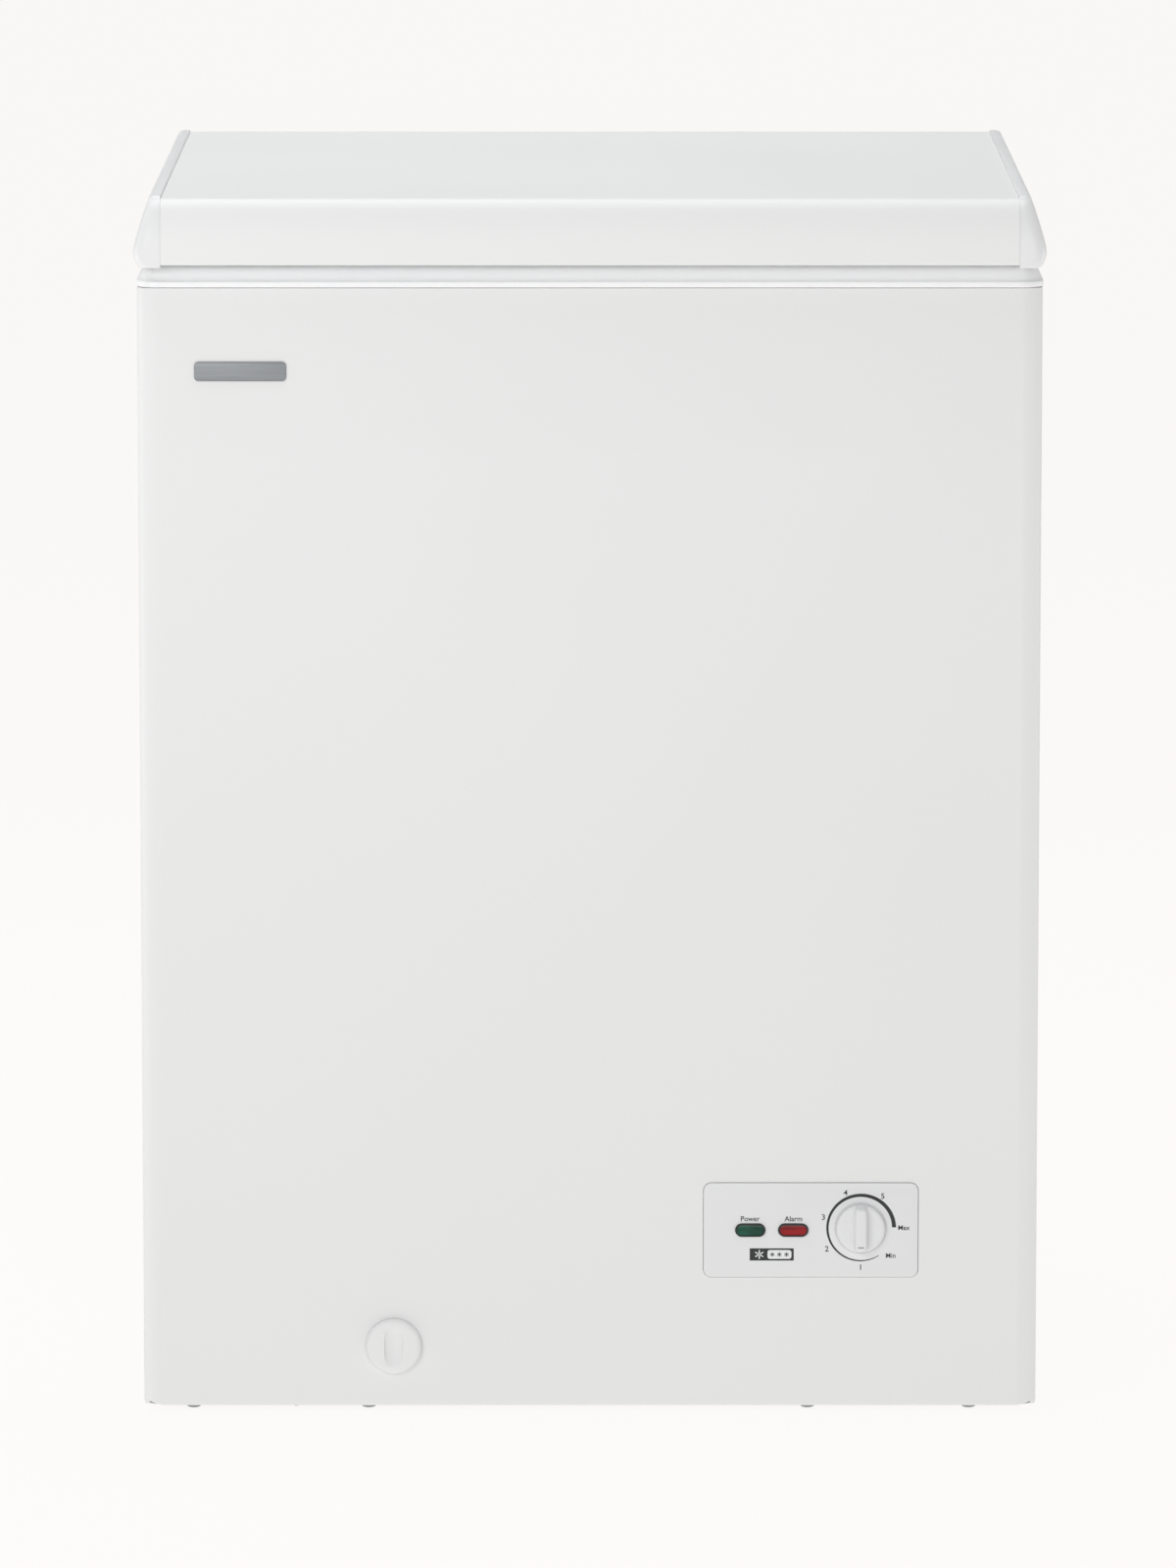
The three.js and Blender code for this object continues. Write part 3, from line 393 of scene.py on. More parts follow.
def grown(name, base, made_tree, **values):
    """The plain mesh that a tree makes from a base object, with the tree's inputs set by name."""
    tree, keys = made_tree
    step = base.modifiers.new("nodes", "NODES")
    step.node_group = tree
    for label, value in values.items():
        step[keys[label.replace("_", " ")]] = value
    return baked(base, name)


def line_object(name, points, closed=False):
    """An object of bare edges along a line, for a tree to work on."""
    mesh = bpy.data.meshes.new(name)
    count = len(points)
    edges = [(i, (i + 1) % count) for i in range(count if closed else count - 1)]
    mesh.from_pydata([tuple(p) for p in points], edges, [])
    return placed(name, mesh)


def points_object(name, points):
    """An object of bare points, for a tree to work on."""
    mesh = bpy.data.meshes.new(name)
    mesh.from_pydata([tuple(p) for p in points], [], [])
    return placed(name, mesh)


def one_object(name, *parts):
    """Joins plain objects into one."""
    form = bmesh.new()
    for part in parts:
        form.from_mesh(part.data)
        bpy.data.objects.remove(part)
    mesh = bpy.data.meshes.new(name)
    form.to_mesh(mesh)
    form.free()
    return placed(name, mesh)


# ------------------------------------------------------------------ materials


def linear(colour):
    """An sRGB hex colour, or one picked in the sidebar, as linear RGBA."""
    if not isinstance(colour, str):
        return (*colour, 1.0)
    parts = [int(colour[i : i + 2], 16) / 255 for i in (1, 3, 5)]
    return tuple(c / 12.92 if c <= 0.04045 else ((c + 0.055) / 1.055) ** 2.4 for c in parts) + (1.0,)


def picked(name, share=1.0):
    """One of the sidebar's colours, made lighter by a share."""
    return tuple(min(part * share, 1.0) for part in getattr(bpy.context.scene.freezer_colours, name))


def new_material(name, colour, roughness, metallic=0.0):
    """A material with its shader, and the place on the object that its patterns read."""
    material = bpy.data.materials.new(name)
    material.use_nodes = True
    tree = material.node_tree
    shader = tree.nodes["Principled BSDF"]
    shader.inputs["Base Color"].default_value = linear(colour)
    shader.inputs["Roughness"].default_value = roughness
    shader.inputs["Metallic"].default_value = metallic
    place = tree.nodes.new("ShaderNodeTexCoord").outputs["Object"]
    return material, tree, shader, place


def noise(tree, place, size_mm, detail=3.0, stretch=(1, 1, 1)):
    """Noise whose lumps are about size_mm across."""
    turned_place = add_node(tree, "ShaderNodeMapping", Vector=place, Scale=stretch)
    return add_node(
        tree, "ShaderNodeTexNoise", Vector=turned_place.outputs[0], Scale=1000 / size_mm / 2, Detail=detail
    ).outputs["Fac"]


def vary_colour(tree, shader, pattern, dark, light):
    """The base colour runs from dark to light with a pattern."""
    ramp = add_node(tree, "ShaderNodeValToRGB", Fac=pattern)
    ramp.color_ramp.interpolation = "EASE"
    ramp.color_ramp.elements[0].position = 0.2
    ramp.color_ramp.elements[1].position = 0.8
    ramp.color_ramp.elements[0].color = linear(dark)
    ramp.color_ramp.elements[1].color = linear(light)
    tree.links.new(ramp.outputs[0], shader.inputs["Base Color"])


def vary_roughness(tree, shader, pattern, low, high):
    """The roughness runs from low to high with a pattern."""
    spread = add_node(tree, "ShaderNodeMapRange", {"interpolation_type": "SMOOTHERSTEP"}, Value=pattern)
    spread.inputs["From Min"].default_value = 0.2
    spread.inputs["From Max"].default_value = 0.8
    spread.inputs["To Min"].default_value = low
    spread.inputs["To Max"].default_value = high
    tree.links.new(spread.outputs[0], shader.inputs["Roughness"])


def relief(tree, shader, height, depth_mm, strength=1.0, over=None):
    """Bump of a real depth, on top of another bump where one is given."""
    bump = add_node(tree, "ShaderNodeBump", Height=height, Distance=depth_mm * MM, Strength=strength)
    if over is not None:
        tree.links.new(over.outputs[0], bump.inputs["Normal"])
    tree.links.new(bump.outputs[0], shader.inputs["Normal"])
    return bump


def coil_coated_steel(colour, light):
    # Pre-painted white sheet steel: a satin polyester coat, nearly smooth, whose faint orange peel and slow
    # waves in the sheet only just break up a reflection.
    material, tree, shader, place = new_material("coil_coated_white_steel", colour, 0.5)
    vary_colour(tree, shader, noise(tree, place, 260, 1), colour, light)
    vary_roughness(tree, shader, noise(tree, place, 90), 0.48, 0.54)
    shader.inputs["Specular IOR Level"].default_value = 0.4
    waves = relief(tree, shader, noise(tree, place, 220, 0), 0.15, 0.3)
    relief(tree, shader, noise(tree, place, 2.2, 2), 0.01, 0.5, waves)
    return material


def moulded_abs(name, colour, light, roughness=0.4, depth=0.05):
    # Injection-moulded white ABS: a little softer and bluer than the paint, with a fine spark-eroded grain.
    material, tree, shader, place = new_material(name, colour, roughness)
    vary_colour(tree, shader, noise(tree, place, 120, 1), colour, light)
    vary_roughness(tree, shader, noise(tree, place, 30), roughness - 0.03, roughness + 0.05)
    relief(tree, shader, noise(tree, place, 0.9, 2), 0.012, 0.5)
    shader.inputs["Subsurface Weight"].default_value = depth
    shader.inputs["Subsurface Radius"].default_value = (1.0, 0.95, 0.9)
    shader.inputs["Subsurface Scale"].default_value = 3 * MM
    return material


def stucco_aluminium():
    # Stucco-embossed aluminium liner: pebbles about 6 mm across rolled into thin bright sheet.
    material, tree, shader, place = new_material("stucco_embossed_aluminium", "#DEE0E2", 0.42, 0.75)
    pebbles = add_node(
        tree, "ShaderNodeTexVoronoi", {"feature": "SMOOTH_F1"}, Vector=place, Scale=1000 / 7.0
    ).outputs["Distance"]
    vary_colour(tree, shader, noise(tree, place, 60), "#DADDDF", "#E4E6E7")
    vary_roughness(tree, shader, noise(tree, place, 24), 0.38, 0.5)
    relief(tree, shader, pebbles, 0.9, 0.75)
    return material


def galvanised_steel():
    # Hot-dip galvanised sheet: grey zinc whose small spangle shows as flat crystals some 5 mm across.
    material, tree, shader, place = new_material("galvanised_steel", "#A3A7AA", 0.5, 0.8)
    spangle = add_node(tree, "ShaderNodeTexVoronoi", Vector=place, Scale=1000 / 5.0)
    vary_colour(tree, shader, spangle.outputs["Color"], "#9DA1A4", "#A8ACAF")
    vary_roughness(tree, shader, spangle.outputs["Color"], 0.46, 0.54)
    relief(tree, shader, noise(tree, place, 4), 0.02, 0.4)
    return material


def zinc_plated_steel():
    # Bright zinc plate over turned or stamped steel, with faint tool lines.
    material, tree, shader, place = new_material("zinc_plated_steel", "#BCC0C4", 0.3, 1.0)
    vary_roughness(tree, shader, noise(tree, place, 3), 0.24, 0.4)
    relief(tree, shader, noise(tree, place, 0.6, 2, (1, 1, 6)), 0.01, 0.4)
    return material


def grained_polypropylene(name, colour, light):
    # Moulded polypropylene: matt, with a fine leather-like mould grain about 1 mm across.
    material, tree, shader, place = new_material(name, colour, 0.5)
    vary_colour(tree, shader, noise(tree, place, 40), colour, light)
    relief(tree, shader, noise(tree, place, 1.1, 3), 0.04, 0.6)
    return material


def rigid_foam():
    # Poured polyurethane foam: honey-coloured, with cells drawn about 2 mm across so that they show.
    material, tree, shader, place = new_material("rigid_polyurethane_foam", "#D9C58C", 0.95)
    cells = add_node(tree, "ShaderNodeTexVoronoi", Vector=place, Scale=500.0).outputs["Distance"]
    vary_colour(tree, shader, noise(tree, place, 50), "#CDB67A", "#E4D3A0")
    relief(tree, shader, cells, 0.5, 0.7)
    return material


def drawn_metal(name, dark, light, roughness):
    # Drawn tube: bright metal with a patchy tarnish and fine marks from the die.
    material, tree, shader, place = new_material(name, light, roughness, 1.0)
    vary_colour(tree, shader, noise(tree, place, 18), dark, light)
    vary_roughness(tree, shader, noise(tree, place, 9), roughness - 0.06, roughness + 0.12)
    relief(tree, shader, noise(tree, place, 0.8), 0.01, 0.4)
    return material


def black_enamel():
    # Dipped black enamel on a deep-drawn shell: glossy, with a plain orange peel.
    material, tree, shader, place = new_material("black_stoving_enamel", "#121315", 0.28)
    relief(tree, shader, noise(tree, place, 3.5, 2), 0.05, 0.6)
    vary_roughness(tree, shader, noise(tree, place, 50), 0.24, 0.4)
    return material


def black_nylon():
    # Glass-filled black nylon: satin, faintly speckled.
    material, tree, shader, place = new_material("black_nylon", "#1A1B1D", 0.5)
    vary_colour(tree, shader, noise(tree, place, 1.2), "#151617", "#232427")
    relief(tree, shader, noise(tree, place, 0.8), 0.02, 0.5)
    return material


def moulded_rubber(name, colour, light):
    # Moulded rubber: dull and soft, with a fine bloom on its surface.
    material, tree, shader, place = new_material(name, colour, 0.72)
    vary_colour(tree, shader, noise(tree, place, 14), colour, light)
    relief(tree, shader, noise(tree, place, 0.7), 0.02, 0.5)
    shader.inputs["Sheen Weight"].default_value = 0.08
    return material


def coated_wire(colour, light):
    # Steel wire with a white polyethylene coat: thick, satin and slightly uneven.
    material, tree, shader, place = new_material("polyethylene_coated_wire", colour, 0.32)
    vary_colour(tree, shader, noise(tree, place, 30), colour, light)
    relief(tree, shader, noise(tree, place, 2.5), 0.06, 0.5)
    return material


def tinted_lens(name, deep, bright):
    # A tinted polycarbonate lens over an unlit lamp: deep colour, a polished face, and faint moulded flutes.
    material, tree, shader, place = new_material(name, deep, 0.14)
    flutes = add_node(tree, "ShaderNodeTexWave", {"bands_direction": "X"}, Vector=place, Scale=160.0)
    vary_colour(tree, shader, noise(tree, place, 7, 1, (1, 1, 3)), deep, bright)
    relief(tree, shader, flutes.outputs["Fac"], 0.02, 0.15)
    shader.inputs["Specular IOR Level"].default_value = 0.35
    return material


def screen_ink(name, colour, light):
    # Screen-printed ink: matt and even, with its edge a few hundredths proud of the panel.
    material, tree, shader, place = new_material(name, colour, 0.55)
    vary_colour(tree, shader, noise(tree, place, 2.0), colour, light)
    return material


def brushed_plate():
    # Brushed, grey-anodised aluminium badge: fine lines along its length and a dull satin face.
    material, tree, shader, place = new_material("brushed_anodised_aluminium", "#8A8D90", 0.5, 0.7)
    lines = noise(tree, place, 0.5, 4, (0.02, 1, 1))
    vary_colour(tree, shader, lines, "#7E8184", "#989B9E")
    vary_roughness(tree, shader, lines, 0.45, 0.58)
    relief(tree, shader, lines, 0.02, 0.3)
    return material


def vacuum_formed():
    # Vacuum-formed high-impact polystyrene: glossier than the mouldings, with slow ripples from the draw.
    material, tree, shader, place = new_material("vacuum_formed_polystyrene", "#E6E9EA", 0.26)
    vary_colour(tree, shader, noise(tree, place, 150, 1), "#E2E6E8", "#EBEDEE")
    relief(tree, shader, noise(tree, place, 35, 1), 0.2, 0.3)
    return material


def studio_paper(colour, glow, strength):
    # Backlit white acrylic: it gives most of its own light, so things on it throw only a faint shadow.
    material, _, shader, _ = new_material("backlit_acrylic", colour, 0.9)
    shader.inputs["Specular IOR Level"].default_value = 0.0
    shader.inputs["Emission Color"].default_value = linear(glow)
    shader.inputs["Emission Strength"].default_value = strength
    return material


FINISHES = {}


def finish(name):
    """Each finish is made once, when a piece first needs it."""
    makers = {
        "white_paint": lambda: coil_coated_steel(picked("paint"), picked("paint", 1.02)),
        "white_plastic": lambda: moulded_abs(
            "moulded_white_abs", picked("moulding"), picked("moulding", 1.02)
        ),
        # The collar is whiter than the other mouldings: painted light that cancels the shade under the lid's
        # overhang.
        "collar_plastic_lightened": lambda: moulded_abs("collar_white_abs", "#F4F6F8", "#F8F9FA", 0.4, 0.45),
        "panel_plastic": lambda: moulded_abs("panel_white_abs", "#E1E2E3", "#E4E5E6", 0.42),
        "grey_plastic": lambda: grained_polypropylene("grey_polypropylene", "#8E9193", "#9A9D9F"),
        "grille_plastic": lambda: grained_polypropylene("white_polypropylene", "#D5D8DA", "#DDDFE1"),
        "aluminium_liner": stucco_aluminium,
        "galvanised": galvanised_steel,
        "zinc": zinc_plated_steel,
        "foam": rigid_foam,
        "copper": lambda: drawn_metal("drawn_copper", "#8F5233", "#C27C54", 0.3),
        "evaporator": lambda: drawn_metal("drawn_aluminium", "#A7ABAE", "#C8CBCE", 0.34),
        "enamel": black_enamel,
        "nylon": black_nylon,
        "soft_white": lambda: moulded_rubber("white_soft_pvc", "#D6D9DB", "#DEE0E2"),
        "soft_dark": lambda: moulded_rubber("black_epdm", "#2A2C2E", "#36383A"),
        "wire": lambda: coated_wire(picked("wire"), picked("wire", 1.06)),
        "green": lambda: tinted_lens(
            "green_polycarbonate_lens", picked("power_lens"), picked("power_lens", 2.6)
        ),
        "red": lambda: tinted_lens("red_polycarbonate_lens", picked("alarm_lens"), picked("alarm_lens", 2.2)),
        "ink": lambda: screen_ink("dark_screen_ink", picked("ink"), picked("ink", 1.4)),
        "pale_ink": lambda: screen_ink("grey_screen_ink", "#8E9194", "#989B9E"),
        "white_ink": lambda: screen_ink("white_screen_ink", "#E4E6E7", "#ECEDEE"),
        "badge": brushed_plate,
        "vacuum_formed": vacuum_formed,
    }
    if name not in FINISHES:
        FINISHES[name] = makers[name]()
    return FINISHES[name]


# ------------------------------------------------------------------ cabinet


def shell_path(lo, hi, sizes, inset, steps=12):
    """The sheet's way from the rear left edge, round the front, to the rear right edge."""
    flat, slant = sizes.crease, radians(sizes.slant)
    bend = sizes.bend - inset
    near = 1.5 * MM
    # One front corner as (distance from the side, distance from the front), from the flat front to the side.
    reach = flat - sizes.bend * (1 - sin(slant))  # the slanted strip's width across the front
    middle = (sizes.bend, reach * tan(slant) + sizes.bend * cos(slant))
    turn = [slant + (pi / 2 - slant) * k / steps for k in range(steps + 1)]
    corner = [(flat, inset)]
    corner += [(middle[0] - bend * sin(a), middle[1] - bend * cos(a)) for a in turn]
    left = [(lo.x + side, lo.y + front) for side, front in corner]
    right = [(hi.x - side, lo.y + front) for side, front in corner]
    ends = [(lo.x + inset, hi.y), (lo.x + inset, hi.y - near)]
    far = [(hi.x - inset, hi.y - near), (hi.x - inset, hi.y)]
    return [
        *ends,
        *reversed(left),
        (lo.x + flat + near, lo.y + inset),
        (hi.x - flat - near, lo.y + inset),
        *right,
        *far,
    ]


def outer_sheet(sizes):
    """The painted sheet round three sides, with its folded edge, window and drain port."""
    lo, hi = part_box("outer_wrap")
    sheet, hem = 0.8 * MM, 0.6 * MM
    section = [
        (sheet, hi.z - hem),
        (sheet * 0.5, hi.z),
        (hem * 0.25, hi.z - hem * 0.3),
        (0, hi.z - hem * 1.4),
        (0, lo.z + hem * 3),
        (hem * 0.4, lo.z + hem * 0.8),
        (hem, lo.z),
        (sheet + 9 * MM, lo.z),
        (sheet + 9 * MM, lo.z + 0.25 * MM),
        (sheet, lo.z + hem),
    ]

    def lift(x, y):
        """How far the folded bottom edge rises, as it is notched at the two front corners."""
        if y >= lo.y + 6 * MM:
            return 0
        from_notch = abs(abs(x) - (hi.x - 4 * MM))
        return 2.4 * MM * max(0.0, 1 - from_notch / (7 * MM))

    loops = []
    for inset, z in section:
        low = z < (lo.z + hi.z) / 2
        loops.append([(x, y, z + (lift(x, y) if low else 0)) for x, y in shell_path(lo, hi, sizes, inset)])
    count = len(loops[0])
    rings = [[loop[i] for loop in loops] for i in range(count)]
    made = plain_object("outer_sheet", loft(rings))
    f_lo, f_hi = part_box("control_fascia")
    gap = 0.3 * MM
    hole = rounded(f_lo.x - gap, f_hi.x + gap, f_lo.z - gap, f_hi.z + gap, 5.8 * MM, 8)
    window = plain_object("window", prism(hole, lo.y - 5 * MM, lo.y + 5 * MM, "Y"))
    cap_lo, cap_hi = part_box("drain_cap")
    centre = (cap_lo + cap_hi) / 2
    port = plain_object(
        "port", prism(circle(centre.x, centre.z, 9 * MM, 32), lo.y - 5 * MM, lo.y + 5 * MM, "Y")
    )
    made = carved(made, window, port)
    finished(made, finish("white_paint"), "cabinet", ["outer_wrap"])


def rear_sheet():
    """The rear sheet, cut away for the louvred panel, with its pressed swages."""
    lo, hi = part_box("rear_panel")
    bay_lo, bay_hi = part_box("rear_grille")
    lap, gland_hole = 8 * MM, 7.4 * MM
    inner, above = bay_lo.x + lap, bay_hi.z - lap
    rim = [(lo.x, lo.z), (inner, lo.z), (inner, above), (hi.x, above), (hi.x, hi.z), (lo.x, hi.z)]
    gland_lo, gland_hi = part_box("cord_gland")
    gland = (gland_lo + gland_hi) / 2
    base = prism(rim, lo.y, hi.y, "Y", [circle(gland.x, gland.z, gland_hole, 32)])
    # Two shallow swages pressed outwards stiffen the sheet.
    swages = []
    margin, half = 40 * MM, 9 * MM
    x0, x1 = lo.x + margin, hi.x - margin
    shape = ((0, -0.1), (2.5, 0.5), (4.5, 1.0), (6, 1.1))  # (inset, how far it stands out) in mm
    levels = [(inset * MM, hi.y + out * MM) for inset, out in shape]
    for height in (0.36, 0.62):
        z = height * hi.z
        swages.append(cushion_edge(bar_outline(x0, x1, z - half, z + half, 8.9 * MM, 6), levels, "Y"))
    piece(
        "rear_sheet",
        joined(base, *swages),
        finish("galvanised"),
        "cabinet",
        ["rear_panel"],
    )


def base_tray():
    """The base pan with its ribs and a dimple near the front."""
    lo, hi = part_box("base_pan")
    top = hi.z
    plate = cushion_edge(
        bar_outline(lo.x, hi.x, lo.y, hi.y, 13 * MM, 6),
        [(0.3 * MM, top), (0, top - 0.3 * MM), (0, top - 0.9 * MM), (0.3 * MM, top - 1.2 * MM)],
        "Z",
    )
    ribs = []
    half, long = 7 * MM, 150 * MM  # half of each rib's width and length
    levels = [(inset * MM, top - drop * MM) for inset, drop in ((0, 1.1), (2.5, 2.2), (4, 2.6), (5.5, 2.7))]
    for k in range(5):
        x = lo.x + (0.2 + 0.13 * k) * (hi.x - lo.x)
        outline_at = bar_outline(x - half, x + half, -long, long, 6.9 * MM, 6)
        ribs.append(cushion_edge(outline_at, levels, "Z"))
    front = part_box("glide_front_inner_left")
    y = (front[0].y + front[1].y) / 2
    profile = [(r * MM, h * MM) for r, h in ((0, 0), (1.8, 0), (3.6, 0.9), (5.2, 3.0), (6, 5.2), (0, 5.2))]
    dimple = turned(profile, (-204 * MM, y, 1.0 * MM))
    piece(
        "base_tray",
        joined(plate, dimple, *ribs),
        finish("galvanised"),
        "cabinet",
        ["base_pan"],
    )


def glides():
    """The round feet."""
    for name in sorted(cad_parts):
        if not name.startswith("glide_"):
            continue
        lo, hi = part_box(name)
        middle = (lo + hi) / 2
        radius, height = (hi.x - lo.x) / 2, hi.z
        profile = [(0, 0), (0.5 * radius, 0), (0.74 * radius, 0.1 * height), (0.9 * radius, 0.36 * height)]
        profile += [(0.98 * radius, 0.7 * height), (radius, 0.86 * height), (radius, height), (0, height)]
        shape = turned(profile, (middle.x, middle.y, 0), steps=36)
        piece(f"{name}_dome", shape, finish("grey_plastic"), "cabinet", [name])


def collar(sizes):
    """The moulding round the mouth: its outer lip, sloping face, top and inner ledge."""
    lo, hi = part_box("top_collar")
    lip = 0.7 * MM
    seat, top = hi.z - 14.7 * MM, hi.z
    # Each line is (from the side, up from the height before it), both in mm.
    section = [(-lip + 0.25 * MM, seat), (-lip, seat + 0.3 * MM), (-lip, seat + 3.2 * MM)]
    section.append((-lip + 0.3 * MM, seat + 3.9 * MM))
    for start, line in (
        (seat, ((0.3, 4.3), (1.0, 5.2), (1.9, 7.4), (3.6, 12.0), (4.6, 14.0))),
        (top, ((5.6, 0), (7.5, 0), (44.0, 0), (45.4, -0.4), (46.0, -1.4), (46.0, -6.3), (46.5, -7.2))),
        (top, ((47.6, -7.5), (58.6, -7.5), (59.9, -8.0), (60.5, -9.2))),
        (lo.z, ((60.5, 1.0), (60.1, 0), (58.6, 0), (58.2, 1.0))),
        (top, ((58.2, -10.5), (43.0, -10.5), (43.0, -3.0), (6.6, -3.0))),
        (seat, ((2.4, 4.0), (2.4, 0))),
    ):
        section += [(side * MM, start + up * MM) for side, up in line]
    edge_radius = lambda inset: max(sizes.corner - inset, 4 * MM) if inset < 0.03 else 24 * MM - 0.2 * inset
    wrap_lo, wrap_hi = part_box("outer_wrap")
    shape = frame_ring(section, wrap_lo.x, wrap_hi.x, wrap_lo.y, wrap_hi.y, edge_radius, 12)
    piece("top_collar_moulding", shape, finish("collar_plastic_lightened"), "cabinet", ["top_collar"])


TANK_STEP_X = 22 * MM  # where the tank's floor steps up over the machine compartment
TANK_STEP_Z = 290 * MM


def tank_rings(lo, hi, margin, floor, top, right):
    """Rings from the middle of a rounded floor, up its bend, to the rim."""
    x0, x1, y0, y1 = lo.x + margin, right - margin, lo.y + margin, hi.y - margin
    corner, bend, steps = 22 * MM, 14 * MM, 6
    rings = []
    for i in range(steps + 1):
        turn = radians(90 * i / steps)
        inset, z = bend * (1 - sin(turn)), floor + bend * (1 - cos(turn))
        edge = rounded(x0 + inset, x1 - inset, y0 + inset, y1 - inset, corner - margin - inset * 0.6, 8)
        rings.append([(x, y, z) for x, y in edge])
    rings.append([(x, y, top) for x, y in rounded(x0, x1, y0, y1, corner - margin, 8)])
    return rings


def tank():
    """The stepped tank, hollowed from one block, with its drain hole."""
    lo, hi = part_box("tank_liner")
    wall, overlap, hole = 1.0 * MM, 60 * MM, 8.5 * MM
    outer = plain_object("tank_sheet", loft(tank_rings(lo, hi, 0, TANK_STEP_Z - wall, hi.z, hi.x)))
    well = plain_object("well", loft(tank_rings(lo, hi, 0, lo.z, TANK_STEP_Z + overlap, TANK_STEP_X + wall)))
    union = outer.modifiers.new("well", "BOOLEAN")
    union.object, union.operation, union.solver = well, "UNION", "EXACT"
    outer = baked(outer, "tank_outer")
    bpy.data.objects.remove(well)
    hollow = plain_object("hollow", loft(tank_rings(lo, hi, wall, TANK_STEP_Z, hi.z + 5 * MM, hi.x)))
    pit = plain_object(
        "pit", loft(tank_rings(lo, hi, wall, lo.z + wall, TANK_STEP_Z + overlap, TANK_STEP_X + wall))
    )
    plug_lo, plug_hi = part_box("drain_plug")
    x, y = (plug_lo.x + plug_hi.x) / 2, (plug_lo.y + plug_hi.y) / 2
    drain = plain_object("drain", prism(circle(x, y, hole, 32), lo.z - 5 * MM, lo.z + 5 * MM))
    made = carved(outer, hollow, pit, drain)
    made.name = "tank_sheet"
    finished(made, finish("aluminium_liner"), "cabinet", ["tank_liner"], 40)


# ------------------------------------------------------------------ lid


def lid_nose(lo, hi):
    """The lid's front from its lower edge to its flat top, as (y, z): a lip, a long bow and a tight nose."""
    lip_top = lo.z + 15.5 * MM
    bow, nose, break_angle = 50.9 * MM, 12.1 * MM, 25
    points = [(lo.y, lip_top - 1.5 * MM)]
    points += [
        (lo.y + bow * (1 - cos(radians(a))), lip_top + bow * sin(radians(a)))
        for a in (break_angle * i / 10 for i in range(11))
    ]
    y, z = points[-1]
    centre = (y + nose * cos(radians(break_angle)), z - nose * sin(radians(break_angle)))
    rise = hi.z - (centre[1] + nose)
    for i in range(1, 13):
        a = radians(break_angle + (90 - break_angle) * i / 12)
        points.append((centre[0] - nose * cos(a), centre[1] + nose * sin(a)))
    return [(p[0], p[1] + (rise if i > 11 else rise * i / 11)) for i, p in enumerate(points)]


def shrunk(points, distance):
    """An open (y, z) line moved to its right by a distance."""
    made = []
    for i, p in enumerate(points):
        a, b = points[max(i - 1, 0)], points[min(i + 1, len(points) - 1)]
        along = Vector((b[0] - a[0], b[1] - a[1])).normalized()
        made.append((p[0] + along.y * distance, p[1] - along.x * distance))
    return made


def lid_sheet():
    """The lid's painted sheet, folded at its front edge."""
    lo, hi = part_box("lid_top_skin")
    outside = [
        (lo.y + 9 * MM, lo.z + 0.1 * MM),
        (lo.y + 1.9 * MM, lo.z),
        (lo.y + 0.7 * MM, lo.z + 0.25 * MM),
        (lo.y + 0.12 * MM, lo.z + 1.0 * MM),
        (lo.y, lo.z + 2.2 * MM),
        *lid_nose(lo, hi),
        (lo.y + 30 * MM, hi.z),
        (hi.y - 2 * MM, hi.z),
        (hi.y, hi.z),
    ]
    thick = 0.9 * MM
    section = outside + list(reversed(shrunk(outside, thick)))
    tuck = 0.2 * MM  # each end nearly meets its cap
    stations = [lo.x - tuck, lo.x + 1.5 * MM, 0, hi.x - 1.5 * MM, hi.x + tuck]
    shape = loft([[(x, y, z) for y, z in section] for x in stations])
    piece("lid_sheet", shape, finish("white_paint"), "lid", ["lid_top_skin"])


def lid_half(z, low, high, half):
    """Half the lid's width at a height: widest a little above its edge, then leaning in."""
    rise, tuck, lean = 11 * MM, 3.8 * MM, 11 * MM
    widest = low + rise
    if z < widest:
        return half - tuck * ((widest - z) / rise) ** 2
    return half - lean * ((z - widest) / (high - widest)) ** 1.2


def end_cap():
    """The right end cap: a hollow moulding that wraps the lid's corner and stands proud of the sheet."""
    lo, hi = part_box("lid_end_cap_right")
    sheet_lo, sheet_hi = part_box("lid_top_skin")
    nose = [p for p in lid_nose(sheet_lo, sheet_hi) if p[1] < sheet_hi.z - 0.05 * MM]
    edge = ((2.4, 0), (1.2, 0.25), (0.45, 1.1), (0.1, 2.6), (0, 5), (0, 8), (0, 11), (0, 14))  # in mm
    fronts = [(lo.y + back * MM, lo.z + up * MM) for back, up in edge] + nose[1:]
    last_y = fronts[-1][0]
    crown = ((0.9, 1.0), (2.0, 0.35), (3.6, 0))  # (back, down) in mm
    fronts += [(last_y + back * MM, hi.z - down * MM) for back, down in crown]

    def outline(front, z, inset, extra=0.0):
        right = lid_half(z, lo.z, hi.z, hi.x) - inset - extra
        inside, back = lo.x + inset + extra * 0.6, hi.y - inset - extra
        corner = min(8.6 * MM - inset, right - inside - 0.3 * MM)
        front += inset
        points = [(inside, front), (inside + 0.3 * MM, front)]
        points += arc(right - corner, front + corner, corner, 270, 360, 12)
        points += arc(right - corner, back - corner, corner, 0, 90, 12)
        points += [(inside + 0.3 * MM, back), (inside, back)]
        return [(x, y, z) for x, y in points]

    rounding = {len(fronts) - 1: 1.9 * MM, len(fronts) - 2: 0.75 * MM, len(fronts) - 3: 0.2 * MM}
    outer = [outline(y, z, 0, rounding.get(i, 0)) for i, (y, z) in enumerate(fronts)]
    inner = [outline(y, z, 2.0 * MM) for y, z in fronts[:-6:3]]
    inner[0] = [(x, y, lo.z) for x, y, z in inner[0]]
    return loft(list(reversed(inner)) + outer)


def end_caps():
    """Both end caps, the left one mirrored."""
    shape = end_cap()
    plastic = finish("white_plastic")
    piece("end_cap_moulding_right", shape, plastic, "lid", ["lid_end_cap_right"], 38)
    piece("end_cap_moulding_left", mirrored(shape), plastic, "lid", ["lid_end_cap_left"], 38)


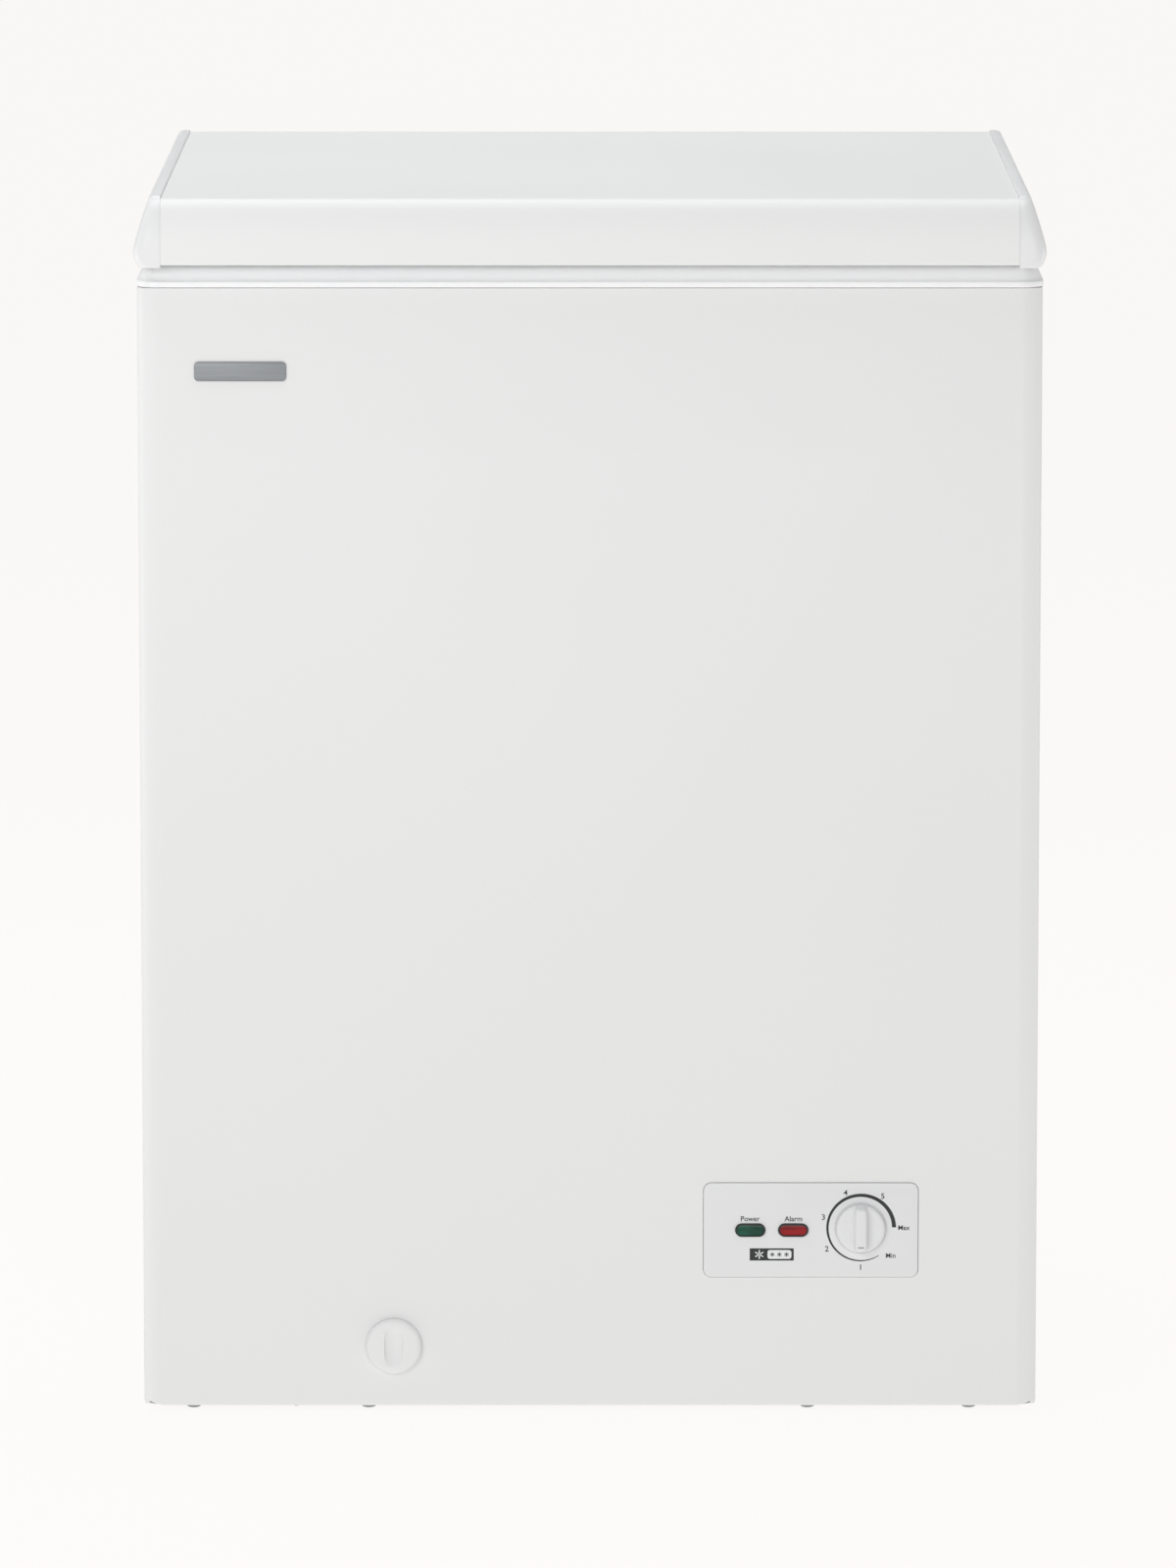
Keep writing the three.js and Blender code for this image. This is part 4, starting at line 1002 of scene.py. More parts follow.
def rear_rail():
    """The moulding along the rear of the lid."""
    lo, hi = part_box("lid_rear_rail")
    wall = 2.4 * MM
    rise = ((0.6, 0), (0, 0.6), (0, 14), (0.5, 14.6), (0.5, 15.4), (0, 16))  # (in, up from the bottom) in mm
    crown = ((0, 0.8), (0.8, 0), (3.6, 0), (3.6, 2.4), (2.6, 2.4))  # (in, down from the top) in mm
    section = [(lo.y, lo.z)]
    section += [(hi.y - across * MM, lo.z + up * MM) for across, up in rise]
    section += [(hi.y - across * MM, hi.z - down * MM) for across, down in crown]
    section += [(hi.y - 2.6 * MM, lo.z + wall), (lo.y, lo.z + wall)]
    stations = [lo.x, lo.x + 1.0 * MM, hi.x - 1.0 * MM, hi.x]
    shape = loft([[(x, y, z) for y, z in section] for x in stations])
    piece("lid_rear_rail_moulding", shape, finish("white_plastic"), "lid", ["lid_rear_rail"])


def lid_liner():
    """The lid's formed inner sheet: a rim, a plug that drops into the mouth, and a raised field."""
    lo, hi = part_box("lid_inner_liner")
    sheet = 1.5 * MM
    plug = (-236 * MM, 236 * MM, -196 * MM, 188 * MM)

    def around(by):
        """The plug's sides, moved outwards."""
        return plug[0] - by, plug[1] + by, plug[2] - by, plug[3] + by

    # (growth of the plug's outline, radius of its corners, drop), all in mm, from the rim to the middle
    steps = ((6, 28, 0.0), (2, 26, 0.8), (0.4, 25, 2.6), (-0.6, 24, 5.6), (-3, 23, 6.9), (-7, 22, 7.1))
    steps += ((-34, 20, 7.1), (-38, 18, 5.6), (-43, 16, 4.2), (-47, 15, 4.0))
    levels = [((lo.x, hi.x, lo.y, hi.y), 12 * MM, 0.0)]
    levels += [(around(by * MM), radius * MM, drop * MM) for by, radius, drop in steps]
    under = [[(x, y, lo.z + 7.1 * MM - drop) for x, y in rounded(*b, r, 8)] for b, r, drop in levels]
    over = [[(x, y, z + sheet) for x, y, z in ring] for ring in under]
    shape = loft(list(reversed(under)) + over)
    ribs = []
    low, pitch, half = lo.z + 3.1 * MM, 66 * MM, 9 * MM
    rib_levels = [(inset * MM, low + up * MM) for inset, up in ((0, 0.3), (2, -1.0), (4, -1.9), (6, -2.1))]
    for k in range(-2, 3):
        x = k * pitch
        outline_at = bar_outline(x - half, x + half, -120 * MM, 112 * MM, 8.9 * MM, 6)
        ribs.append(cushion_edge(outline_at, rib_levels, "Z"))
    piece(
        "lid_formed_liner",
        joined(shape, *ribs),
        finish("vacuum_formed"),
        "lid",
        ["lid_inner_liner"],
        40,
    )


def gasket():
    """A soft extruded seal: a flange under the liner, a folded bellows and a soft bulb."""
    lo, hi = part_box("lid_gasket")
    # (across, down from the top), then the bulb as (across, up from the bottom), then back up, all in mm
    right = ((0.6, 0), (15.4, 0), (16.0, 0.8), (15.2, 2.2), (13.2, 2.9), (13.2, 3.7), (15.0, 4.6))
    bulb = ((12.6, 0.5), (9.5, 0), (6.5, 0), (3.4, 0.5))
    left = ((1.2, 8.2), (0.4, 6.2), (1.0, 4.6), (2.8, 3.7), (2.8, 2.9), (0.8, 2.2), (0.0, 0.8))
    section = [(across * MM, hi.z - down * MM) for across, down in right + ((15.6, 6.2), (14.8, 8.2))]
    section += [(across * MM, lo.z + up * MM) for across, up in bulb]
    section += [(across * MM, hi.z - down * MM) for across, down in left]
    shape = frame_ring(list(reversed(section)), lo.x, hi.x, lo.y, hi.y, lambda inset: 24 * MM - inset / 2, 10)
    piece("lid_seal", shape, finish("soft_white"), "lid", ["lid_gasket"], 50)


# ------------------------------------------------------------------ hinges and screws


def screw_head(radius, height, axis):
    """A pan-head screw with a cross recess, its head pointing along axis, seated at the origin."""
    shares = ((0, -0.4), (0.96, -0.4), (1, 0.15), (0.93, 0.5), (0.72, 0.82), (0.4, 0.97), (0, 1))
    profile = [(across * radius, up * height) for across, up in shares]
    head = plain_object("screw_head", turned(profile, (0, 0, 0), axis, 24))
    out = {"-Y": -1, "Y": 1}[axis]
    half, slot = 0.52 * radius, 0.13 * radius
    near, far = sorted((out * 0.45 * height, out * 1.4 * height))
    arms = [
        plain_object("arm", prism(rounded(-half, half, -slot, slot, 0.4 * slot, 2), near, far, "Y")),
        plain_object("arm", prism(rounded(-slot, slot, -half, half, 0.4 * slot, 2), near, far, "Y")),
    ]
    return carved(head, *arms)


def screws(name, points, axis, body, radius=3.6 * MM, height=2.2 * MM):
    """One screw head, copied to each place."""
    shape = screw_head(radius, height, axis)
    zinc = finish("zinc")
    made = grown(name, points_object(name + "_points", points), places_tree(), Shape=shape, Material=zinc)
    bpy.data.objects.remove(shape)
    finished(made, zinc, body, crease=40)


HINGE_PLATE = 2.4 * MM  # thickness of each hinge's plates
PIN_BORE = 3.2 * MM  # radius of the holes for the pin
CHEEK_REACH, CHEEK_HALF = 14.5 * MM, 1.5 * MM  # each cheek's distance from the middle, and half its thickness
BARREL_HALF = 12 * MM  # half the length of the barrel between the cheeks
SCREW_REACH = 20 * MM  # the outer screws' distance from the middle


def hinge_plate(x0, x1, z0, z1, face):
    """A pressed plate that stands on a face, with its outer edge rounded."""
    levels = [(0.2 * MM, face), (0, face + 0.3 * MM), (0, face + 1.8 * MM), (0.6 * MM, face + HINGE_PLATE)]
    return cushion_edge(bar_outline(x0, x1, z0, z1, 6 * MM, 8), levels, "Y")


def hinges():
    """Both hinges: the cabinet's bracket, the lid's plate and barrel, the pin and the screws."""
    paint, zinc = finish("white_plastic"), finish("zinc")
    for side in ("left", "right"):
        b_lo, b_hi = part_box(f"hinge_base_{side}")
        l_lo, l_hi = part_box(f"hinge_leaf_{side}")
        p_lo, p_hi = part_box(f"hinge_pin_{side}")
        x = (b_lo.x + b_hi.x) / 2
        pin = (p_lo + p_hi) / 2
        knuckle = b_hi.z - pin.z
        bore = circle(pin.y, pin.z, PIN_BORE, 28)
        plate_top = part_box("outer_wrap")[1].z
        face = b_lo.y
        plate = hinge_plate(b_lo.x, b_hi.x, b_lo.z, plate_top, face)
        cheek_line = [(face + out * MM, b_hi.z - down * MM) for out, down in ((1, 34), (5, 34), (8, 31))]
        cheek_line += arc(pin.y, pin.z, knuckle, -20, 180, 20) + [(face + 1 * MM, plate_top)]
        cheeks = []
        for middle in (x - CHEEK_REACH, x + CHEEK_REACH):
            cheeks.append(prism(cheek_line, middle - CHEEK_HALF, middle + CHEEK_HALF, "X", [bore]))
        base = plain_object(f"hinge_bracket_{side}", joined(plate, *cheeks))
        finished(base, paint, "cabinet", [f"hinge_base_{side}"])

        leaf_face = l_lo.y
        leaf_low = pin.z + 15 * MM
        plate = hinge_plate(l_lo.x, l_hi.x, leaf_low, l_hi.z, leaf_face)
        web = [(leaf_face, pin.z + 6 * MM)]
        web += [(pin.y + out * MM, pin.z + up * MM) for out, up in ((-1, 7), (2, 8), (-3, 12))]
        web += [(leaf_face + out * MM, pin.z + up * MM) for out, up in ((4, 17), (2.2, 22), (0, 22))]
        neck = prism(web, x - BARREL_HALF, x + BARREL_HALF, "X")
        ring = circle(pin.y, pin.z, knuckle - 0.3 * MM, 40)
        barrel = prism(ring, x - BARREL_HALF, x + BARREL_HALF, "X", [bore])
        leaf = plain_object(f"hinge_plate_{side}", joined(plate, neck, barrel))
        finished(leaf, paint, "lid", [f"hinge_leaf_{side}"])

        reach = p_hi.x - p_lo.x
        head = ((0, 0), (4.4, 0), (5, 0.5), (5, 1.9), (4.4, 2.4), (3, 2.4))  # (radius, along) in mm
        profile = [(r * MM, along * MM) for r, along in head]
        profile += [(3 * MM, reach - 0.6 * MM), (2.4 * MM, reach), (0, reach)]
        shape = turned(profile, (p_lo.x, pin.y, pin.z), "X", 32)
        piece(f"hinge_rivet_{side}", shape, zinc, "cabinet", [f"hinge_pin_{side}"])

        spots = [
            (x + dx, b_lo.y + HINGE_PLATE, z)
            for dx in (-SCREW_REACH, SCREW_REACH)
            for z in (b_lo.z + 14 * MM, b_lo.z + 46 * MM)
        ]
        screws(f"hinge_bracket_screws_{side}", spots, "Y", "cabinet", 4.0 * MM, 2.4 * MM)
        height = leaf_low + 20 * MM
        spots = [(x + dx, leaf_face + HINGE_PLATE, height) for dx in (-SCREW_REACH, 0, SCREW_REACH)]
        screws(f"hinge_plate_screws_{side}", spots, "Y", "lid", 4.0 * MM, 2.4 * MM)


# ------------------------------------------------------------------ control panel


def fascia():
    """The panel with its two slots, the spindle's hole and the knob's dish."""
    lo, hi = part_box("control_fascia")
    knob_lo, knob_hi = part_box("thermostat_knob")
    edge = bar_outline(lo.x, hi.x, lo.z, hi.z, 5.5 * MM, 10)
    rounding = ((0, 0.75), (0.1, 0.4), (0.35, 0.12), (0.8, 0))  # (inset, depth) in mm
    levels = [(0, hi.y)] + [(inset * MM, lo.y + depth * MM) for inset, depth in rounding]
    made = plain_object("control_panel_plate", cushion_edge(edge, levels, "Y"))
    cutters = []
    for lamp in ("power_lamp", "alarm_lamp"):
        a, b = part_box(lamp)
        gap = 0.35 * MM
        slot = rounded(a.x - gap, b.x + gap, a.z - gap, b.z + gap, (b.z - a.z) / 2 + gap - 0.05 * MM, 12)
        cutters.append(plain_object("slot", prism(slot, lo.y - 2 * MM, hi.y + 2 * MM, "Y")))
    centre = (knob_lo + knob_hi) / 2
    hole = circle(centre.x, centre.z, 4 * MM, 32)
    cutters.append(plain_object("hole", prism(hole, lo.y - 2 * MM, hi.y + 2 * MM, "Y")))
    # A shallow round dish in which the knob sits.
    profile = [(r * MM, h * MM) for r, h in ((0, -2), (18.4, -2), (18.4, -0.35), (17.6, 0.35), (0, 0.35))]
    dish = turned(profile, (centre.x, lo.y, centre.z), "Y", 64)
    cutters.append(plain_object("dish", dish))
    made = carved(made, *cutters)
    finished(made, finish("panel_plastic"), "cabinet", ["control_fascia"])


def lamp(node, name, tint, slot):
    """One lens with its black rim of painted shade."""
    lo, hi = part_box(node)
    height = hi.z - lo.z
    edge = bar_outline(lo.x, hi.x, lo.z, hi.z, height / 2 - 0.05 * MM, 12)
    front = lo.y + 0.3 * MM
    rounding = ((0, 0.9), (0.15, 0.55), (0.6, 0.2), (1.4, 0.05), (2.4, 0))  # (inset, depth) in mm
    levels = [(0, hi.y)] + [(inset * MM, front + depth * MM) for inset, depth in rounding]
    piece(name, cushion_edge(edge, levels, "Y"), finish(tint), "cabinet", [node], 60)
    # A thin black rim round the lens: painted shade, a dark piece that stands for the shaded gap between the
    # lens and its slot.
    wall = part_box("control_fascia")[0].y
    grow = lambda by: rounded(lo.x - by, hi.x + by, lo.z - by, hi.z + by, height / 2 + by - 0.05 * MM, 12)
    rim = prism(grow(0.15 * MM), lo.y + 0.05 * MM, wall + 0.1 * MM, "Y", [grow(-0.85 * MM)])
    piece(name + "_rim", rim, finish("nylon"), "cabinet")


def knob():
    """The round knob with its grip bar and pointer."""
    lo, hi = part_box("thermostat_knob")
    x, z = (lo.x + hi.x) / 2, (lo.z + hi.z) / 2
    radius, back, face = (hi.x - lo.x) / 2, hi.y, lo.y
    rise = back - face
    profile = [
        (0, 0),
        (radius - 0.4 * MM, 0),
        (radius, 0.4 * MM),
        (radius, 2.6 * MM),
        (radius - 0.3 * MM, 3.5 * MM),
        (radius - 1.1 * MM, 4.1 * MM),
        (radius - 2.4 * MM, 4.3 * MM),
        (radius * 0.6, 3.9 * MM),
        (radius * 0.3, 3.7 * MM),
        (0, 3.7 * MM),
    ]
    disc = turned(profile, (x, back, z), "-Y", 72)
    half_w, half_h = 4.5 * MM, radius - 0.5 * MM
    # (inset across, inset along, distance from the knob's back)
    levels = [
        (-1.2, -0.0, 3.0), (-0.6, 0.1, 3.9), (0.0, 0.4, 5.0), (0.35, 0.9, 7.0), (0.6, 1.5, rise / MM - 1.1)
    ]
    levels += [(0.95, 2.0, rise / MM - 0.45), (1.5, 2.7, rise / MM - 0.1), (2.3, 3.6, rise / MM)]
    rings = []
    for across, along, out in levels:
        w, h = half_w - across * MM, half_h - along * MM
        bend = min(w - 0.2 * MM, 3.2 * MM)
        rings.append([(px, back - out * MM, pz) for px, pz in rounded(x - w, x + w, z - h, z + h, bend, 8)])
    bar = loft(rings)
    made = plain_object("control_knob", joined(disc, bar))
    finished(made, finish("white_plastic"), "thermostat_knob", ["thermostat_knob"], 40)
    # The pointer is a short printed bar at the grip's lower end.
    y = face - 0.02 * MM
    low = z - half_h + 3.9 * MM
    mark = prism(
        rounded(x - 2.1 * MM, x + 2.1 * MM, low, low + 1.0 * MM, 0.4 * MM, 4), y, face + 0.2 * MM, "Y"
    )
    piece("control_knob_pointer", mark, finish("pale_ink"), "thermostat_knob")


def printed_text(name, words, size, centre, y):
    """Flat lettering on the panel, centred on an (x, z) point, as a thin mesh."""
    curve = bpy.data.curves.new(name, "FONT")
    curve.body = words
    curve.size = size
    curve.align_x, curve.align_y = "CENTER", "CENTER"
    curve.extrude = 0.03 * MM
    curve.offset = 0.07 * MM
    curve.resolution_u = 4
    flat = baked(placed(name + "_text", curve), name)
    corners = [v.co for v in flat.data.vertices]
    middle = [(min(c[i] for c in corners) + max(c[i] for c in corners)) / 2 for i in range(3)]
    place = Matrix.Translation((centre[0], y, centre[1])) @ Matrix.Rotation(radians(90), 4, "X")
    place = place @ Matrix.Translation((-middle[0], -middle[1], 0))
    flat.data.transform(place)
    return flat


INK_PROUD, INK_ROOT = 0.03 * MM, 0.2 * MM  # how far flat print stands out of its surface and goes into it


# Angle in degrees and distance in mm of each mark from the middle of the dial.
DIAL_STOPS = {
    "Min": (-43, 28.4),
    "1": (-90, 27.6),
    "2": (-148, 27.6),
    "3": (163.5, 26.9),
    "4": (113, 27.0),
    "5": (56, 27.0),
    "Max": (0.4, 29.9),
}


def dial_print():
    """The knob's scale and all the panel's words."""
    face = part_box("control_fascia")[0].y
    k_lo, k_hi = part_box("thermostat_knob")
    x, z = (k_lo.x + k_hi.x) / 2, (k_lo.z + k_hi.z) / 2
    words = []
    for label, (angle, reach) in DIAL_STOPS.items():
        spot = (x + reach * MM * cos(radians(angle)), z + reach * MM * sin(radians(angle)))
        size = 4.7 * MM if len(label) > 1 else 5.6 * MM
        words.append(printed_text("dial_" + label, label, size, spot, face))
    for lamp_node, label in (("power_lamp", "Power"), ("alarm_lamp", "Alarm")):
        a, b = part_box(lamp_node)
        words.append(printed_text("label_" + label, label, 5.0 * MM, ((a.x + b.x) / 2, b.z + 3.6 * MM), face))
    made = one_object("panel_lettering", *words)
    finished(made, finish("ink"), "cabinet", crease=30)

    # The setting scale: an arc that thickens from Min, down and round, to Max.
    radius, start, sweep, steps = 23 * MM, -57, -302, 120
    inner, outer = [], []
    for i in range(steps + 1):
        share = i / steps
        angle = radians(start + sweep * share)
        half = (0.22 + 1.2 * share**0.8) * MM
        inner.append((x + (radius - half) * cos(angle), z + (radius - half) * sin(angle)))
        outer.append((x + (radius + half) * cos(angle), z + (radius + half) * sin(angle)))
    shape = prism(outer + list(reversed(inner)), face - INK_PROUD, face + INK_ROOT, "Y")
    piece("panel_scale_arc", shape, finish("ink"), "cabinet")


def star(cx, cz, reach, width, arms, y0, y1):
    """An asterisk of straight arms."""
    bars = []
    for i in range(arms):
        a = radians(90 + 360 * i / arms)
        along, across = Vector((cos(a), sin(a))), Vector((-sin(a), cos(a)))
        corners = [
            across * width / 2,
            along * reach + across * width / 2,
            along * reach - across * width / 2,
            -across * width / 2,
        ]
        bars.append(prism([(cx + c.x, cz + c.y) for c in corners], y0, y1, "Y"))
    return joined(*bars)


def rating_symbol():
    """The general four-star storage symbol under the lamps."""
    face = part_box("control_fascia")[0].y
    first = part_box("power_lamp")[0]
    x = (first.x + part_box("alarm_lamp")[1].x) / 2
    z = first.z - 12.7 * MM
    half_w, half_h = 15.2 * MM, 4.3 * MM
    edge = rounded(x - half_w, x + half_w, z - half_h, z + half_h, 0.3 * MM, 3)
    field = prism(edge, face - INK_PROUD, face + INK_ROOT, "Y")
    piece("symbol_field", field, finish("ink"), "cabinet")
    # The white lies on the dark field, and the small stars lie on the white.
    white, dark = (face - 2 * INK_PROUD, face + 0.1 * MM), (face - 3 * INK_PROUD, face + 0.1 * MM)
    big = star(x - 8.6 * MM, z, 3.2 * MM, 0.75 * MM, 6, *white)
    box_edge = rounded(x - 2.9 * MM, x + 13.6 * MM, z - 3.1 * MM, z + 3.1 * MM, 1.6 * MM, 6)
    field = prism(box_edge, *white, "Y")
    piece("symbol_white", joined(big, field), finish("white_ink"), "cabinet")
    small = [star(x + (0.4 + 4.9 * i) * MM, z, 1.7 * MM, 0.5 * MM, 6, *dark) for i in range(3)]
    piece("symbol_stars", joined(*small), finish("ink"), "cabinet")


def badge():
    """A blank plate with a softened edge."""
    lo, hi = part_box("name_plate")
    edge = bar_outline(lo.x, hi.x, lo.z, hi.z, 3 * MM, 8)
    levels = [(0, hi.y), (0, lo.y + 0.35 * MM), (0.12 * MM, lo.y + 0.12 * MM), (0.45 * MM, lo.y)]
    piece(
        "blank_badge",
        cushion_edge(edge, levels, "Y"),
        finish("badge"),
        "cabinet",
        ["name_plate"],
    )


# ------------------------------------------------------------------ drain


def drain_fittings():
    """The drain's front cover and the stopper in the tank's floor."""
    lo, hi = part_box("drain_cap")
    x, z = (lo.x + hi.x) / 2, (lo.z + hi.z) / 2
    radius = (hi.x - lo.x) / 2
    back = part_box("outer_wrap")[0].y - 0.3 * MM
    root, proud = back - hi.y, back - lo.y
    profile = [
        (0, root),
        (6.8 * MM, root),
        (7.5 * MM, root + 0.8 * MM),
        (7.5 * MM, 0),
        (radius - 0.3 * MM, 0),
        (radius, 0.4 * MM),
        (radius, proud - 3.2 * MM),
        (radius - 0.3 * MM, proud - 1.9 * MM),
        (radius - 1.1 * MM, proud - 0.9 * MM),
        (radius - 2.4 * MM, proud - 0.25 * MM),
        (radius - 4.0 * MM, proud),
        (0, proud),
    ]
    cap = plain_object("cap", turned(profile, (x, back, z), "-Y", 72))
    # A finger scoop, dished down its length and rounded at its ends and sides.
    depth, long, wide = 3.2 * MM, 28 * MM, 13 * MM
    dish = ((long / 2) ** 2 + depth**2) / (2 * depth)
    rings = []
    for share in (-1, -0.94, -0.8, -0.5, 0, 0.5, 0.8, 0.94, 1):
        bend = dish - depth * 0.9 * (1 - (1 - share * share) ** 0.5)
        centre = (lo.y + depth - dish, z)
        rings.append([(x + share * wide / 2, y, h) for y, h in circle(*centre, bend, 96)])
    scoop = plain_object("scoop", loft(rings))
    made = carved(cap, scoop)
    made.name = "drain_cover"
    finished(made, finish("white_paint"), "drain_cap", ["drain_cap"], 40)

    lo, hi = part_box("drain_plug")
    x, y = (lo.x + hi.x) / 2, (lo.y + hi.y) / 2
    flange = lo.z + 11 * MM
    rim = ((7.5, 0), (15.4, 0), (16, 0.6), (16, 2.2), (15.2, 3), (0, 3.2))  # (radius, up) in mm
    profile = [(0, lo.z), (6.6 * MM, lo.z), (7.5 * MM, lo.z + 1 * MM)]
    profile += [(r * MM, flange + up * MM) for r, up in rim]
    stem = turned(profile, (x, y, 0), "Z", 48)
    edge = bar_outline(x - 9 * MM, x + 9 * MM, flange + 2 * MM, hi.z, 4 * MM, 8)
    levels = [(inset * MM, y + along * MM) for inset, along in ((0.5, -2), (0, -1.4), (0, 1.4), (0.5, 2))]
    tab = cushion_edge(edge, levels, "Y")
    piece(
        "drain_stopper",
        joined(stem, tab),
        finish("soft_white"),
        "drain_plug",
        ["drain_plug"],
        40,
    )


# ------------------------------------------------------------------ basket


def basket(sizes):
    """Welded wire: U-bent wires both ways, three frame rings, and a heavier rim."""
    nodes = [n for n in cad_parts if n.startswith("basket_") and "hanger" not in n]
    corners = [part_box(n) for n in nodes]
    lo = Vector([min(c[0][i] for c in corners) for i in range(3)])
    hi = Vector([max(c[1][i] for c in corners) for i in range(3)])
    thin, frame_r, rim_r = sizes.wire / 2, sizes.wire * 0.75, 2.5 * MM
    x0, x1, y0, y1 = lo.x + rim_r, hi.x - rim_r, lo.y + rim_r, hi.y - rim_r
    low, high = lo.z + thin, hi.z - rim_r - 0.2 * MM
    corner = 20 * MM
    coat = finish("wire")

    def rows(name, points, count, step, radius, closed=False, sides=12):
        base = line_object(name + "_line", points, closed)
        size = {"Wire_Radius": radius, "Sides": sides, "Count": count, "Step": step}
        return grown(name, base, wire_rows_tree(), **size, Material=coat)

    inside = thin + rim_r
    across_count = max(2, round((y1 - y0 - 2 * corner) / sizes.pitch))
    across_step = (y1 - y0 - 2 * corner) / across_count
    left, right, near = x0 + inside, x1 - inside, y0 + corner
    u_across = softened(
        [(left, near, high), (left, near, low), (right, near, low), (right, near, high)], 12 * MM
    )
    along_count = max(2, round((x1 - x0 - 2 * corner) / sizes.pitch))
    along_step = (x1 - x0 - 2 * corner) / along_count
    lower = low + 2 * thin
    x, front, back = x0 + corner, y0 + inside, y1 - inside
    u_along = softened([(x, front, high), (x, front, lower), (x, back, lower), (x, back, high)], 12 * MM)
    rim = [(x, y, high) for x, y in rounded(x0, x1, y0, y1, corner, 10)]
    shelf = rim_r - frame_r
    ring = [(x, y, 0) for x, y in rounded(x0 + shelf, x1 - shelf, y0 + shelf, y1 - shelf, corner, 10)]
    ring_low, ring_count = low + 22 * MM, 3
    ring_step = (high - ring_low - 34 * MM) / (ring_count - 1)
    parts = [
        rows("wires_across", u_across, across_count + 1, (0, across_step, 0), thin),
        rows("wires_along", u_along, along_count + 1, (along_step, 0, 0), thin),
        rows("rings", [(x, y, ring_low) for x, y, _ in ring], ring_count, (0, 0, ring_step), frame_r, True),
        rows("rim", rim, 1, (0, 0, 1), rim_r, True, 18),
    ]
    made = one_object("wire_basket", *parts)
    finished(made, coat, "basket", nodes, 60)


def hangers():
    """The two bent wires that hook over the collar's ledge and turn on the rim."""
    rim = 2.5 * MM
    for side, name in ((-1, "front"), (1, "rear")):
        lo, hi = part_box(f"basket_hanger_{name}")
        wall_lo, wall_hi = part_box(f"basket_wall_{name}")
        pivot_y = (wall_lo.y + wall_hi.y) / 2
        pivot_z = wall_hi.z - 2 * MM
        wire = 2 * MM
        bend = hi.z - wire
        hook = lo.y + wire if side < 0 else hi.y - wire
        x0, x1 = lo.x + wire, hi.x - wire
        reach = rim + wire + 0.5 * MM
        eye_left = [
            (x0, pivot_y + reach * cos(radians(a)) * side, pivot_z + reach * sin(radians(a)))
            for a in range(-250, 60, 20)
        ]
        eye_right = [(x1, y, z) for _, y, z in reversed(eye_left)]
        path = [Vector(p) for p in eye_left]
        rise = [(pivot_y + side * 5 * MM, pivot_z + 12 * MM), (pivot_y + side * 6 * MM, bend), (hook, bend)]
        path += softened([(x0, y, z) for y, z in rise] + [(x1, y, z) for y, z in reversed(rise)], 6 * MM)
        path += [Vector(p) for p in eye_right]
        coat = finish("wire")
        base = line_object("hanger_line", path)
        made = grown(
            f"basket_handle_{name}",
            base,
            wire_rows_tree(),
            Wire_Radius=wire * 0.95,
            Sides=16,
            Count=1,
            Step=(0, 0, 1),
            Material=coat,
        )
        finished(made, coat, f"hanger_{name}", [f"basket_hanger_{name}"], 60)


# ------------------------------------------------------------------ machine compartment


def grille():
    """The louvred panel: a frame with two rows of slats, and its screws."""
    lo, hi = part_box("rear_grille")
    edge = rounded(lo.x, hi.x, lo.z, hi.z, 8 * MM, 8)
    border = 13 * MM
    middle = (lo.x + hi.x) / 2
    post = 5 * MM
    openings = [
        rounded(lo.x + border, middle - post, lo.z + border, hi.z - border, 4 * MM, 6),
        rounded(middle + post, hi.x - border, lo.z + border, hi.z - border, 4 * MM, 6),
    ]
    panel = plain_object("grille_panel", prism(edge, lo.y, hi.y, "Y", openings))
    count = 18
    pitch = (hi.z - lo.z - 2 * border) / count
    # One slat: a blade that leans outwards and down, with rounded edges.
    z = lo.z + border + pitch * 0.5
    blade = [
        (lo.y + 0.2 * MM, z + 2.6 * MM),
        (lo.y + 1.0 * MM, z + 3.2 * MM),
        (hi.y - 0.2 * MM, z - 1.9 * MM),
        (hi.y - 0.3 * MM, z - 3.2 * MM),
        (hi.y - 1.0 * MM, z - 3.0 * MM),
    ]
    slat = joined(
        prism(blade, lo.x + border - 2 * MM, middle - post + 2 * MM, "X"),
        prism(blade, middle + post - 2 * MM, hi.x - border + 2 * MM, "X"),
    )
    plastic = finish("grille_plastic")
    slats = grown(
        "grille_slats",
        plain_object("slat", slat),
        rows_tree(),
        Count=count,
        Step=(0, 0, pitch),
        Material=plastic,
    )
    made = one_object("rear_louvre_panel", panel, slats)
    finished(made, plastic, "cabinet", ["rear_grille"])
    spots = [
        (x, hi.y, z)
        for x in (lo.x + 6.5 * MM, hi.x - 6.5 * MM)
        for z in (lo.z + 7 * MM, (lo.z + hi.z) / 2, hi.z - 7 * MM)
    ]
    screws("grille_screws", spots, "Y", "cabinet", 3.4 * MM, 2.0 * MM)


def rear_screws():
    """The screws round the rear sheet's edge."""
    lo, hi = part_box("rear_panel")
    xs = [lo.x + 9 * MM + (hi.x - lo.x - 18 * MM) * i / 6 for i in range(7)]
    spots = [(x, hi.y, hi.z - 12 * MM) for x in xs if abs(abs(x) - 200 * MM) > 38 * MM]
    spots += [(x, hi.y, z) for x in (lo.x + 9 * MM, hi.x - 9 * MM) for z in (300 * MM, 460 * MM, 620 * MM)]
    spots += [(lo.x + 9 * MM, hi.y, 120 * MM), (lo.x + 9 * MM, hi.y, 16 * MM), (-110 * MM, hi.y, 16 * MM)]
    screws("rear_sheet_screws", spots, "Y", "cabinet", 3.4 * MM, 2.0 * MM)


